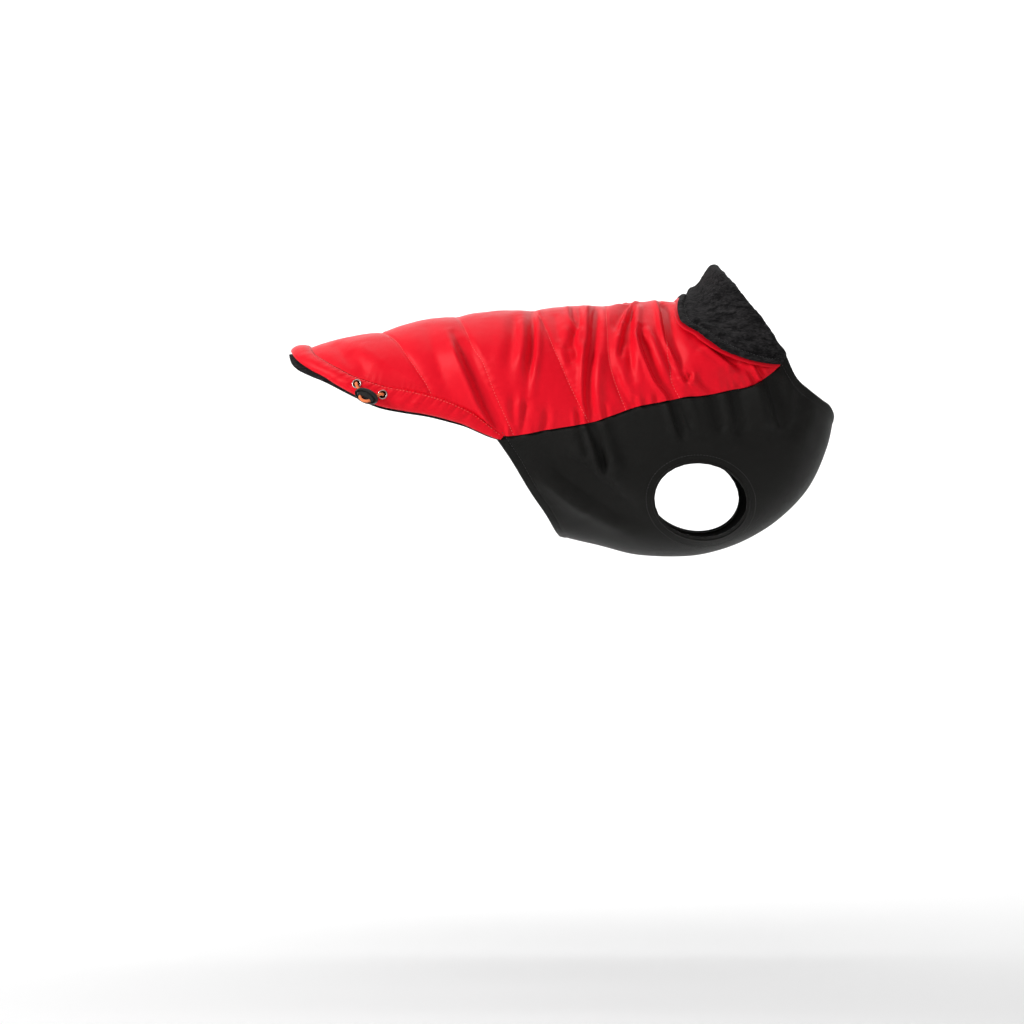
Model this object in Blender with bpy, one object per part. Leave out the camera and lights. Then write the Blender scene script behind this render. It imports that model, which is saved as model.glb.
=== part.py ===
"""Pull-on dog jacket, standing in the form it takes when worn.

A quilted red back panel with a fleece lining, a black stretch chest panel with two armholes,
a fleece collar that is turned down, and a drawcord hem with two eyelets and a cord lock.

+X is forward (towards the head), -Y is the wearer's right, +Z is up. Tables are in millimetres.
The origin is the point of the lining that rests on the wearer's back, at the withers.
"""

import math

import bmesh
import bpy
import numpy as np
from mathutils import Matrix, Vector

MM = 0.001
SEAM_GAP = 0.5

# ---------------------------------------------------------------- the hollow trunk form

# One row for each flat section across the hollow, from tail to neck: its point on the back line,
# its point on the belly line, half its width, and how square it is (2 is an ellipse).
SECTION_COLUMNS = ("back_x", "back_z", "belly_x", "belly_z", "half_width", "square")
SECTIONS = (
    (-392, -53, -394, -200, 60, 2.3),
    (-335, -43, -338, -208, 70, 2.3),
    (-270, -29, -272, -212, 78, 2.3),
    (-200, -14, -198, -216, 83, 2.3),
    (-130, -8, -118, -221, 87, 2.3),
    (-70, -4, -58, -234, 91, 2.2),
    (-20, -1, 0, -247, 94, 2.2),
    (10, 0, 62, -245, 93, 2.2),
    (29, 0, 119, -222, 89, 2.1),
    (46, 2, 159, -186, 80, 2.1),
    (62, 15, 181, -142, 70, 2.0),
    (80, 41, 190, -101, 60, 2.0),
)
WIDEST = 0.45  # share of a section's depth, from the back, at which it is widest


def smooth_read(values, at, mirror_first=False, mirror_last=False):
    """A column read at fractional row numbers, on a smooth curve through its rows.

    An end that is mirrored is one where the curve goes on into its own mirror image.
    """
    values = np.asarray(values, float)
    first = values[1] if mirror_first else 2 * values[0] - values[1]
    last = values[-2] if mirror_last else 2 * values[-1] - values[-2]
    padded = np.concatenate([[first], values, [last]])
    row = np.clip(np.floor(at).astype(int), 0, len(values) - 2)
    t = at - row
    before, here, after, beyond = (padded[row + k] for k in range(4))
    return here + 0.5 * t * (
        after - before
        + t * (2 * before - 5 * here + 4 * after - beyond + t * (3 * (here - after) + beyond - before))
    )


def section(station):
    """The columns of SECTIONS at a station, which is a fractional row number."""
    station = np.asarray(station, float)
    return {
        name: smooth_read([row[i] for row in SECTIONS], station)
        for i, name in enumerate(SECTION_COLUMNS)
    }


def form(station, angle):
    """Points of the hollow form on the wearer's right. Angle 0 is the back line and pi the belly line."""
    row = section(station)
    down_x, down_z = row["belly_x"] - row["back_x"], row["belly_z"] - row["back_z"]
    depth = np.hypot(down_x, down_z)
    down_x, down_z = down_x / depth, down_z / depth
    half = np.where(np.cos(angle) >= 0, WIDEST, 1 - WIDEST) * depth
    reach = (np.abs(np.cos(angle)) / half) ** row["square"]
    reach = (reach + (np.abs(np.sin(angle)) / row["half_width"]) ** row["square"]) ** (-1 / row["square"])
    along = WIDEST * depth - reach * np.cos(angle)
    return np.stack(
        [row["back_x"] + down_x * along, -reach * np.sin(angle), row["back_z"] + down_z * along], axis=-1
    )


def outward(station, angle):
    """Unit normals of the form."""
    step = 1e-3
    across = form(station, angle + step) - form(station, angle - step)
    forward = form(station + step, angle) - form(station - step, angle)
    normal = np.cross(across, forward)
    return normal / np.linalg.norm(normal, axis=-1, keepdims=True)


def bisect(above, low, high):
    """Where a rising test turns true, between low and high."""
    for _ in range(40):
        middle = (low + high) / 2
        low, high = (low, middle) if above(middle) else (middle, high)
    return (low + high) / 2


def on_form(x, z):
    """(station, angle) of the point on the wearer's right whose side view is x, z."""

    def is_ahead(station):
        row = section(station)
        down_x, down_z = row["belly_x"] - row["back_x"], row["belly_z"] - row["back_z"]
        return down_x * (z - row["back_z"]) - down_z * (x - row["back_x"]) < 0

    station = bisect(is_ahead, 0.0, len(SECTIONS) - 1.0)
    row = section(station)
    belly_down = np.array([row["belly_x"] - row["back_x"], row["belly_z"] - row["back_z"]])
    wanted = np.dot([x - row["back_x"], z - row["back_z"]], belly_down)

    def is_lower(angle):
        point = form(station, angle)
        return np.dot([point[0] - row["back_x"], point[2] - row["back_z"]], belly_down) > wanted

    return station, bisect(is_lower, 0.0, math.pi)


def on_line(x, line):
    """The station at which the back or belly line reaches x."""
    return bisect(lambda station: section(station)[line + "_x"] > x, 0.0, len(SECTIONS) - 1.0)


BACK = 0.0
BELLY = math.pi


def route(*places):
    """(station, angle) rows of a line on the form. A place is side-view x and z, or x and BACK or BELLY."""
    rows = []
    for x, z in places:
        if z == BACK:
            rows.append((on_line(x, "back"), BACK))
        elif z == BELLY:
            rows.append((on_line(x, "belly"), BELLY))
        else:
            rows.append(on_form(x, z))
    return np.array(rows)


def read_route(rows, share):
    """(station, angle) at shares of a route's length, on a smooth curve through its rows."""
    points = form(rows[:, 0], rows[:, 1])
    length = np.concatenate([[0], np.cumsum(np.linalg.norm(np.diff(points, axis=0), axis=1))])
    at = np.interp(np.asarray(share) * length[-1], length, np.arange(len(rows)))
    crossing = rows[0, 1] != rows[-1, 1]
    ends = [crossing and angle in (BACK, BELLY) for angle in (rows[0, 1], rows[-1, 1])]
    return np.stack([smooth_read(rows[:, 0], at, *ends), smooth_read(rows[:, 1], at)], axis=-1)


# ---------------------------------------------------------------- cutting lines, on the wearer's right

SIDE_SEAM = route(
    (-145, -129.5), (-128, -128), (-103, -123), (-73, -118), (-53, -114), (-36, -108), (-8, -98.5),
    (32, -90.5), (52, -88.5), (82, -82.5), (106, -76.5), (116, -70.5), (124, -64.5), (131, -58),
)
HEM_STITCH = route(
    (-341, BACK), (-336, -49), (-322, -57), (-303, -66), (-289, -71.5), (-261, -79), (-241, -82),
    (-215, -87.5), (-199, -92.5), (-184, -99), (-172, -105.5), (-161, -114), (-150, -123), (-144, -127),
)
HEM_EDGE = route(
    (-361, BACK), (-357, -51), (-350, -57), (-338, -64), (-324, -70.5), (-310, -78.5), (-291, -88),
    (-270, -97), (-245, -102), (-222, -105.5), (-199, -111), (-184, -115.5), (-170, -121.8),
    (-155, -128), (-147, -130.5),
)
LINING_EDGE = route(
    (-364, BACK), (-360, -54), (-351, -61), (-338, -68), (-324, -74.5), (-310, -82), (-291, -91.5),
    (-270, -100.5), (-245, -105.5), (-222, -109), (-199, -114.5), (-184, -118.8), (-170, -124.6),
    (-159, -129), (-151, -131),
)
NECK_SEAM = route((50, BACK), (53, 0), (60, -11), (74, -26), (96, -41), (116, -52), (131, -58))
COLLAR_RIM = route((76, BACK), (80, 28), (88, 17), (99, 1), (111, -16), (123, -34), (134, -51))
COLLAR_EDGE = route(
    (38, BACK), (34, -4), (31, -12), (33, -19), (40, -23.5), (55, -27.5), (74, -36.5), (94, -45),
    (112, -51), (130, -56),
)
BELLY_EDGE = route((-145, -129.5), (-136, -151), (-118, -181), (-100, -207), (-91, -222), (-87, BELLY))
NECKLINE = route((131, -58), (146, -70), (161, -81), (175, -91.5), (184, -98), (188.6, BELLY))
BACK_LINE = route((-341, BACK), (-220, BACK), (-100, BACK), (0, BACK), (50, BACK))
LINING_BACK_LINE = route((-364, BACK), (-220, BACK), (-100, BACK), (0, BACK), (50, BACK))
LINING_SEAM = np.concatenate([route((-151, -131)), SIDE_SEAM])
BELLY_LINE = route((-87, BELLY), (-30, BELLY), (60, BELLY), (125, BELLY), (165, BELLY), (188.6, BELLY))


class Patch:
    """One half of a symmetrical cloth panel between four cutting lines, with its twin mirrored.

    `along` runs from the tail end (0) to the neck end (1). `across` runs from the panel's middle (0)
    to its side (1) on the wearer's right, and to -1 on the left.
    """

    def __init__(self, tail, neck, middle, side, gap=SEAM_GAP):
        self.tail, self.neck, self.middle, self.side = tail, neck, middle, side
        size = self.points(np.array([0.0, 1.0, 0.5, 0.5]), np.array([0.5, 0.5, 0.0, 1.0]), 0.0)
        self.along_gap = gap / 2 / np.linalg.norm(size[1] - size[0])
        self.across_gap = gap / 2 / np.linalg.norm(size[3] - size[2])

    def spot(self, along, across):
        """(station, angle) inside the four lines."""
        side = np.abs(across)
        a, b = along[..., None], side[..., None]
        corners = (
            (1 - a) * (1 - b) * self.middle[0] + a * (1 - b) * self.middle[-1]
            + (1 - a) * b * self.side[0] + a * b * self.side[-1]
        )
        return (
            (1 - b) * read_route(self.middle, along) + b * read_route(self.side, along)
            + (1 - a) * read_route(self.tail, side) + a * read_route(self.neck, side) - corners
        )

    def points(self, along, across, offset):
        """Points this far outside the form."""
        spots = self.spot(along, across)
        station, angle = spots[..., 0], spots[..., 1]
        found = form(station, angle) + outward(station, angle) * np.asarray(offset)[..., None]
        found[..., 1] *= np.where(across < 0, -1.0, 1.0)
        return found


# ---------------------------------------------------------------- quilting, folds and gathers

# Quilting lines as sewn on each side, from the back line down.
QUILT_LINES = (
    route((-268, BACK), (-247, -41), (-232, -61), (-222, -75), (-216, -86)),
    route((-191, BACK), (-178, -34), (-164, -57), (-154, -82), (-143, -106), (-134, -126)),
    route((-114, BACK), (-99, -30), (-86, -59), (-78, -77), (-70, -93), (-59, -113)),
    route((-40, BACK), (-40, -28), (-39, -51), (-35, -68), (-31, -80), (-22, -102)),
    route((14, BACK), (17, -20), (19, -45), (21, -60), (23, -74), (31, -90)),
)

# The largest folds of the back panel: side-view ends, depth (a ridge is below zero) and half width.
FOLD_COLUMNS = ("from_x", "from_z", "to_x", "to_z", "depth", "half_width")
RIGHT_FOLDS = (
    (-196, -30, -150, -116, 3.4, 10),
    (-118, -20, -125, -120, 3.0, 9),
    (-74, -22, -73, -58, 3.2, 9),
    (-54, -18, -58, -108, 3.4, 10),
    (-18, -4, -34, -36, 3.8, 9),
    (-18, -20, -15, -76, 3.6, 10),
    (-9, -38, 24, -92, 4.0, 10),
    (14, -12, 34, -70, 4.4, 9),
    (36, -62, 64, -84, 3.0, 10),
    (70, -48, 88, -66, 3.6, 10),
    (104, -54, 118, -70, 2.4, 8),
)
LEFT_FOLDS = (
    (-202, -34, -156, -112, 3.0, 10),
    (-128, -24, -118, -118, 3.2, 10),
    (-84, -18, -80, -70, 3.0, 9),
    (-58, -26, -50, -104, 3.6, 10),
    (-24, -8, -30, -48, 3.2, 9),
    (-10, -26, -14, -80, 3.4, 10),
    (2, -36, 30, -88, 3.8, 10),
    (20, -14, 40, -74, 4.2, 9),
    (44, -58, 70, -82, 3.0, 10),
    (76, -50, 92, -68, 3.2, 10),
    (102, -56, 116, -70, 2.2, 8),
)
RIGHT_CHEST_FOLDS = (
    (-52, -116, -40, -164, 2.4, 10),
    (27, -94, 34, -126, 2.4, 10),
    (-82, -156, -8, -204, 2.0, 14),
    (72, -92, 80, -122, 1.4, 14),
    (124, -80, 134, -112, 1.4, 15),
)
LEFT_CHEST_FOLDS = (
    (-60, -118, -48, -160, 2.2, 10),
    (22, -96, 30, -130, 2.4, 10),
    (-78, -150, -12, -200, 2.0, 14),
    (68, -92, 78, -124, 1.4, 14),
    (120, -82, 132, -116, 1.4, 15),
)


def line_points(rows, side, count=40):
    """Points along a route on the form, on the wearer's right (side 1) or left (-1)."""
    spots = read_route(rows, np.linspace(0, 1, count))
    points = form(spots[:, 0], spots[:, 1])
    points[:, 1] *= side
    return points


def distance_to(points, line):
    """How far each point is from a line's points, and its share of the way along the line."""
    gaps = np.linalg.norm(points[..., None, :] - line, axis=-1)
    nearest = gaps.argmin(axis=-1)
    return gaps.min(axis=-1), nearest / (len(line) - 1)


def folds_at(points, table, side):
    """How far the folds of a table lower the cloth at each point."""
    lowered = np.zeros(points.shape[:-1])
    for from_x, from_z, to_x, to_z, depth, half_width in table:
        line = line_points(route((from_x, from_z), (to_x, to_z)), side)
        away, share = distance_to(points, line)
        fade = np.sin(np.pi * np.clip(0.08 + 0.84 * share, 0, 1)) ** 0.6
        trough = np.exp(-((away / half_width) ** 2))
        shoulder = 0.45 * np.exp(-(((away - 1.9 * half_width) / half_width) ** 2))
        lowered += depth * fade * (trough - shoulder)
    return lowered


def quilt_height(points, loft, reach):
    """How far the filling lifts the cloth: nothing on a sewn line, and full loft well away from one."""
    sewn = [HEM_STITCH, SIDE_SEAM, NECK_SEAM, *QUILT_LINES]
    nearest = np.full(points.shape[:-1], 1e3)
    for rows in sewn:
        for side in (1, -1):
            nearest = np.minimum(nearest, distance_to(points, line_points(rows, side, 60))[0])
    return loft * (1 - np.exp(-((nearest / reach) ** 1.5)))


# ---------------------------------------------------------------- mesh helpers

MATERIALS = {
    "red_shell": ((0.62, 0.012, 0.018), 0.42, 0.0),
    "black_fleece": ((0.018, 0.018, 0.020), 0.95, 0.0),
    "black_stretch": ((0.012, 0.012, 0.012), 0.8, 0.0),
    "nickel": ((0.72, 0.70, 0.66), 0.25, 1.0),
    "black_plastic": ((0.015, 0.015, 0.016), 0.5, 0.0),
    "orange_cord": ((0.85, 0.25, 0.07), 0.7, 0.0),
}


def clear_scene():
    for obj in list(bpy.data.objects):
        bpy.data.objects.remove(obj)


def material(name):
    found = bpy.data.materials.get(name)
    if found is None:
        colour, roughness, metallic = MATERIALS[name]
        found = bpy.data.materials.new(name)
        found.use_nodes = True
        shader = found.node_tree.nodes["Principled BSDF"]
        shader.inputs["Base Color"].default_value = (*colour, 1)
        shader.inputs["Roughness"].default_value = roughness
        shader.inputs["Metallic"].default_value = metallic
    return found


def add_object(name, mesh, finish):
    mesh.materials.append(material(finish))
    mesh.shade_smooth()
    mesh.set_sharp_from_angle(angle=math.radians(50))
    obj = bpy.data.objects.new(name, mesh)
    bpy.context.scene.collection.objects.link(obj)
    return obj


def grid_faces(rows, columns, first, flip):
    """Quads of a grid of points numbered row by row from `first`."""
    faces = []
    for i in range(rows - 1):
        for j in range(columns - 1):
            corner = first + i * columns + j
            quad = (corner, corner + 1, corner + columns + 1, corner + columns)
            faces.append(quad[::-1] if flip else quad)
    return faces


def rim_loop(rows, columns, first):
    """The numbers of a grid's border points, once round."""
    bottom = [(0, j) for j in range(columns)]
    right = [(i, columns - 1) for i in range(1, rows)]
    top = [(rows - 1, j) for j in range(columns - 2, -1, -1)]
    left = [(i, 0) for i in range(rows - 2, 0, -1)]
    return [first + i * columns + j for i, j in bottom + right + top + left]


def cloth_wall(name, outer, inner, finish):
    """A closed wall between two grids of points. The inner grid has the same cells, or half as many."""
    rows, columns = outer.shape[:2]
    inner_rows, inner_columns = inner.shape[:2]
    points = np.concatenate([outer.reshape(-1, 3), inner.reshape(-1, 3)]) * MM
    outer_loop = rim_loop(rows, columns, 0)
    inner_loop = rim_loop(inner_rows, inner_columns, rows * columns)
    times = len(outer_loop) // len(inner_loop)
    faces = grid_faces(rows, columns, 0, False)
    faces += grid_faces(inner_rows, inner_columns, rows * columns, True)
    for k, here in enumerate(inner_loop):
        after = inner_loop[(k + 1) % len(inner_loop)]
        fine = [outer_loop[(k * times + n) % len(outer_loop)] for n in range(times + 1)]
        faces.append((fine[0], here, after, fine[-1], *fine[-2:0:-1]))
    mesh = bpy.data.meshes.new(name)
    mesh.from_pydata([tuple(p) for p in points], [], faces)
    work = bmesh.new()
    work.from_mesh(mesh)
    bmesh.ops.triangulate(work, faces=[f for f in work.faces if len(f.verts) > 4])
    bmesh.ops.recalc_face_normals(work, faces=work.faces)
    work.to_mesh(mesh)
    work.free()
    return add_object(name, mesh, finish)


def shares(count, gap, both_ways=False):
    """Even steps over a panel, less half a seam gap at its borders."""
    return np.linspace(-(1 - gap) if both_ways else gap, 1 - gap, count + 1)


def cutter(name, mesh):
    """A helper body that only cuts others."""
    obj = bpy.data.objects.new(name, mesh)
    bpy.context.scene.collection.objects.link(obj)
    obj.hide_render = True
    obj.display_type = "WIRE"
    return obj


def cut(obj, tool):
    boolean = obj.modifiers.new("cut_" + tool.name, "BOOLEAN")
    boolean.operation = "DIFFERENCE"
    boolean.object = tool


# ---------------------------------------------------------------- back panel and its lining

LINING_INSIDE, LINING_OUTSIDE = 0.0, 1.8
SHELL_INSIDE, SHELL_OUTSIDE = 3.0, 4.6
QUILT_LOFT, QUILT_REACH = 3.6, 13.0

BACK_PATCH = Patch(HEM_STITCH, NECK_SEAM, BACK_LINE, SIDE_SEAM)
LINING_PATCH = Patch(LINING_EDGE, NECK_SEAM, LINING_BACK_LINE, LINING_SEAM, 2 * SEAM_GAP)


def back_shell():
    """Red quilted cloth from the hem stitching to the neck seam, and from side seam to side seam."""
    along_cells, across_cells = 60, 40
    along = shares(along_cells, BACK_PATCH.along_gap)
    across = shares(across_cells, BACK_PATCH.across_gap, both_ways=True)
    a, b = np.meshgrid(along, across, indexing="ij")
    on_the_form = BACK_PATCH.points(a, b, np.zeros_like(a))
    height = SHELL_OUTSIDE + quilt_height(on_the_form, QUILT_LOFT, QUILT_REACH)
    right = folds_at(on_the_form, RIGHT_FOLDS, 1)
    left = folds_at(on_the_form, LEFT_FOLDS, -1)
    height = np.clip(height - right - left, SHELL_INSIDE + 1.0, SHELL_OUTSIDE + QUILT_LOFT)
    outer = BACK_PATCH.points(a, b, height)
    inner = BACK_PATCH.points(a[::2, ::2], b[::2, ::2], np.full(a[::2, ::2].shape, SHELL_INSIDE))
    return cloth_wall("back_shell", outer, inner, "red_shell")


def back_lining():
    """Black fleece under the back panel. It shows as a dark edge below the hem."""
    along_cells, across_cells = 30, 20
    along = shares(along_cells, LINING_PATCH.along_gap)
    across = shares(across_cells, LINING_PATCH.across_gap, both_ways=True)
    a, b = np.meshgrid(along, across, indexing="ij")
    outer = LINING_PATCH.points(a, b, np.full_like(a, LINING_OUTSIDE))
    inner = LINING_PATCH.points(a[::2, ::2], b[::2, ::2], np.full(a[::2, ::2].shape, LINING_INSIDE))
    return cloth_wall("back_lining", outer, inner, "black_fleece")


# ---------------------------------------------------------------- drawcord hem

HEM_THICKNESS = 6.4
HEM_CELLS, HEM_PROFILE_CELLS = 48, 5


def hem_spot(round_hem, share):
    """(station, angle, side) on the hem: -1 to 1 round the tail, 0 at its stitching to 1 at its edge."""
    side = np.abs(round_hem)
    inner, outer = read_route(HEM_STITCH, side), read_route(HEM_EDGE, side)
    spots = inner + (outer - inner) * np.asarray(share)[..., None]
    return spots[..., 0], spots[..., 1], np.where(round_hem < 0, -1.0, 1.0)


def hem_points(round_hem, share, offset):
    station, angle, side = hem_spot(round_hem, share)
    points = form(station, angle) + outward(station, angle) * np.asarray(offset)[..., None]
    points[..., 1] *= side
    return points


def hem_height(round_hem, share):
    """How far the rolled hem's outside stands off the form. It thins out towards the side seams."""
    end = np.clip((1 - np.abs(round_hem)) / 0.22, 0, 1)
    swell = np.clip(4 * share * (1 - share), 0, 1) ** 0.55
    return SHELL_INSIDE + 1.2 + (HEM_THICKNESS - 1.2) * swell * (0.35 + 0.65 * end)


def hem_frame(round_hem, share, raised):
    """A place on the hem as a matrix: x forward along the hem, y up to its stitching, z outwards."""
    at = np.array(round_hem), np.array(share)
    step = 0.01
    base = hem_points(*at, hem_height(*at))
    ahead = hem_points(at[0] + step, at[1], hem_height(at[0] + step, at[1])) - base
    edgeward = hem_points(at[0], at[1] + step, hem_height(*at)) - base
    x_axis = Vector(ahead).normalized()
    z_axis = x_axis.cross(Vector(edgeward)).normalized()
    if z_axis.y > 0:
        z_axis.negate()
    y_axis = z_axis.cross(x_axis)
    turn = Matrix((x_axis, y_axis, z_axis)).transposed().to_4x4()
    return Matrix.Translation((Vector(base) + raised * z_axis) * MM) @ turn


def hem_channel():
    """The back panel's edge, rolled and stitched as a tunnel for the drawcord."""
    ends = 1 - 0.004
    round_hem = np.linspace(-ends, ends, HEM_CELLS + 1)
    width = np.linalg.norm(hem_points(0.5, 1.0, 0.0) - hem_points(0.5, 0.0, 0.0))
    share = np.linspace(2 * SEAM_GAP / width, 1, HEM_PROFILE_CELLS + 1)
    r, s = np.meshgrid(round_hem, share, indexing="ij")
    outer = hem_points(r, s, hem_height(r, s))
    inner = hem_points(r, s, np.full_like(r, SHELL_INSIDE))
    hem = cloth_wall("hem_channel", outer, inner, "red_shell")
    for name, place in (("rear", EYELET_REAR), ("front", EYELET_FRONT)):
        hole = new_mesh_of(lambda work: bmesh.ops.create_cone(
            work, cap_ends=True, segments=16, radius1=CORD_HOLE_RADIUS * MM, radius2=CORD_HOLE_RADIUS * MM,
            depth=2 * CORD_HOLE_DEPTH * MM,
        ), "cord_hole_" + name)
        hole.transform(hem_frame(*place, 0.0))
        cut(hem, cutter("cord_hole_" + name, hole))
    return hem


# ---------------------------------------------------------------- eyelets, cord lock and drawcord

EYELET_REAR, EYELET_FRONT = (0.410, 0.44), (0.515, 0.46)
EYELET_RADIUS, EYELET_HOLE_RADIUS, EYELET_HEIGHT = 4.9, 2.9, 1.1
CORD_HOLE_RADIUS, CORD_HOLE_DEPTH = 2.3, 2.6
CORD_RADIUS = 1.4
CORD_POINTS = 48
LOCK_LENGTH, LOCK_WIDTH, LOCK_THICKNESS = 24.0, 14.5, 8.6
LOCK_PLACE, LOCK_RAISED = (0.482, 0.84), 10.4
LOCK_TILT = math.radians(6)  # its face leans down
LOCK_SLOT_LENGTH, LOCK_SLOT_WIDTH, LOCK_SLOT_DROP = 15.6, 5.4, 2.6
LOCK_STRANDS = 7.6  # between the two strands in the slot


def new_mesh_of(build, name):
    work = bmesh.new()
    build(work)
    mesh = bpy.data.meshes.new(name)
    work.to_mesh(mesh)
    work.free()
    return mesh


def turned_ring(profile, segments):
    """A ring turned from a closed profile of (radius, height) rows."""

    def build(work):
        corners = [work.verts.new((radius * MM, 0, height * MM)) for radius, height in profile]
        edges = [work.edges.new((corners[k - 1], corners[k])) for k in range(len(corners))]
        bmesh.ops.spin(work, geom=corners + edges, axis=(0, 0, 1), cent=(0, 0, 0), angle=math.tau,
                       steps=segments, use_merge=True)
        bmesh.ops.remove_doubles(work, verts=work.verts, dist=1e-6)
        bmesh.ops.recalc_face_normals(work, faces=work.faces)

    return build


def eyelet(name, place):
    """A pressed metal ring round the hole that the drawcord leaves by."""
    middle = (EYELET_RADIUS + EYELET_HOLE_RADIUS) / 2
    profile = (
        (EYELET_HOLE_RADIUS, 0), (EYELET_RADIUS, 0), (EYELET_RADIUS, 0.3), (middle + 0.5, EYELET_HEIGHT),
        (middle - 0.4, EYELET_HEIGHT), (EYELET_HOLE_RADIUS, 0.5),
    )
    ring = add_object(name, new_mesh_of(turned_ring(profile, 24), name), "nickel")
    ring.data.transform(hem_frame(*place, 0.5))
    return ring


def lock_frame():
    """The cord lock's place: x along its length, y down its face, z out of its face."""
    return hem_frame(*LOCK_PLACE, LOCK_RAISED) @ Matrix.Rotation(LOCK_TILT, 4, "X")


def oval_prism(work, length, width, low, high, bevel):
    """An oval slab between two heights, with rounded rims."""
    bmesh.ops.create_cone(work, cap_ends=True, segments=28, radius1=0.5, radius2=0.5, depth=1)
    middle = (low + high) / 2
    bmesh.ops.scale(work, vec=(length * MM, width * MM, (high - low) * MM), verts=work.verts)
    bmesh.ops.translate(work, vec=(0, 0, middle * MM), verts=work.verts)
    if bevel:
        rims = [edge for edge in work.edges if edge.calc_face_angle() > 1]
        bmesh.ops.bevel(
            work, geom=rims, offset=bevel * MM, segments=2, profile=0.5, affect="EDGES", material=-1
        )


def cord_lock():
    """A moulded oval lock: two plates on a narrower waist, with a slot for the cord's two strands."""
    half, waist, step = LOCK_THICKNESS / 2, 1.1, 4.5
    plates = []
    for name, low, high in (("cord_lock", waist, half), ("lock_back_plate", -half, -waist)):
        mesh = new_mesh_of(lambda work: oval_prism(work, LOCK_LENGTH, LOCK_WIDTH, low, high, 1.1), name)
        plates.append(mesh)
    core = new_mesh_of(
        lambda work: oval_prism(work, LOCK_LENGTH - step, LOCK_WIDTH - step, 1 - half, half - 1, 0),
        "lock_core",
    )
    slot = new_mesh_of(
        lambda work: oval_prism(work, LOCK_SLOT_LENGTH, LOCK_SLOT_WIDTH, -2 * half, 2 * half, 0),
        "lock_slot",
    )
    slot.transform(Matrix.Translation((0, -LOCK_SLOT_DROP * MM, 0)))
    lock = add_object("cord_lock", plates[0], "black_plastic")
    for mesh, operation in ((plates[1], "UNION"), (core, "UNION"), (slot, "DIFFERENCE")):
        mesh.transform(lock_frame())
        tool = cutter(mesh.name, mesh)
        boolean = lock.modifiers.new(mesh.name, "BOOLEAN")
        boolean.operation = operation
        boolean.object = tool
    lock.data.transform(lock_frame())
    return lock


def cord_route():
    """Hand-placed points of the visible cord: out of one eyelet, through the lock, round, and back."""
    rear, front, lock = hem_frame(*EYELET_REAR, 0), hem_frame(*EYELET_FRONT, 0), lock_frame()
    strand, slot = LOCK_STRANDS / 2, -LOCK_SLOT_DROP
    half = LOCK_THICKNESS / 2
    return [
        rear @ Vector((0, 0, -1.6 * MM)),
        rear @ Vector((0, 0, 0.6 * MM)),
        rear @ Vector((0.2 * MM, -0.2 * MM, 2.6 * MM)),
        rear @ Vector((2.4 * MM, -2.6 * MM, 4.2 * MM)),
        lock @ Vector((-strand * MM, (slot + 2.0) * MM, (-half - 2.1) * MM)),
        lock @ Vector((-strand * MM, slot * MM, (-half - 0.6) * MM)),
        lock @ Vector((-strand * MM, slot * MM, 0)),
        lock @ Vector((-strand * MM, slot * MM, (half + 0.4) * MM)),
        lock @ Vector((-0.75 * strand * MM, (slot - 1.6) * MM, (half + 2.4) * MM)),
        lock @ Vector((0, (slot - 3.0) * MM, (half + 3.0) * MM)),
        lock @ Vector((0.75 * strand * MM, (slot - 1.6) * MM, (half + 2.4) * MM)),
        lock @ Vector((strand * MM, slot * MM, (half + 0.4) * MM)),
        lock @ Vector((strand * MM, slot * MM, 0)),
        lock @ Vector((strand * MM, slot * MM, (-half - 0.6) * MM)),
        lock @ Vector(((strand + 0.4) * MM, (slot + 1.8) * MM, (-half - 2.1) * MM)),
        front @ Vector((-2.8 * MM, -1.6 * MM, 4.2 * MM)),
        front @ Vector((-0.2 * MM, -0.1 * MM, 2.6 * MM)),
        front @ Vector((0, 0, 0.6 * MM)),
        front @ Vector((0, 0, -1.6 * MM)),
    ]


def drawcord():
    """Elastic cord that draws in the hem. The rest of it runs hidden in the channel."""
    given = np.array([tuple(p) for p in cord_route()])
    at = np.linspace(0, len(given) - 1, 800)
    fine = np.stack([smooth_read(given[:, k], at) for k in range(3)], axis=-1)
    length = np.concatenate([[0], np.cumsum(np.linalg.norm(np.diff(fine, axis=0), axis=1))])
    even = np.linspace(0, length[-1], CORD_POINTS)
    smooth = np.stack([np.interp(even, length, fine[:, k]) for k in range(3)], axis=-1)
    curve = bpy.data.curves.new("drawcord", "CURVE")
    curve.dimensions = "3D"
    curve.bevel_depth = CORD_RADIUS * MM
    curve.bevel_resolution = 2
    curve.use_fill_caps = True
    spline = curve.splines.new("POLY")
    spline.points.add(len(smooth) - 1)
    for point, place in zip(spline.points, smooth):
        point.co = (*place, 1)
    curve.materials.append(material("orange_cord"))
    cord = bpy.data.objects.new("drawcord", curve)
    bpy.context.scene.collection.objects.link(cord)
    return cord


# ---------------------------------------------------------------- turned-down collar

STAND_OFFSET = 3.2  # of the middle between its two layers, from the form
FALL_OFFSET = 11.2
TIP_FALL_OFFSET = 9.6
FLEECE_THICKNESS, COLLAR_SHELL_THICKNESS = 2.2, 1.5
LAYER_GAP = 0.5
COLLAR_END = 0.985
SHELL_LIP = 3.2  # the red edge that shows below the fleece


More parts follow.
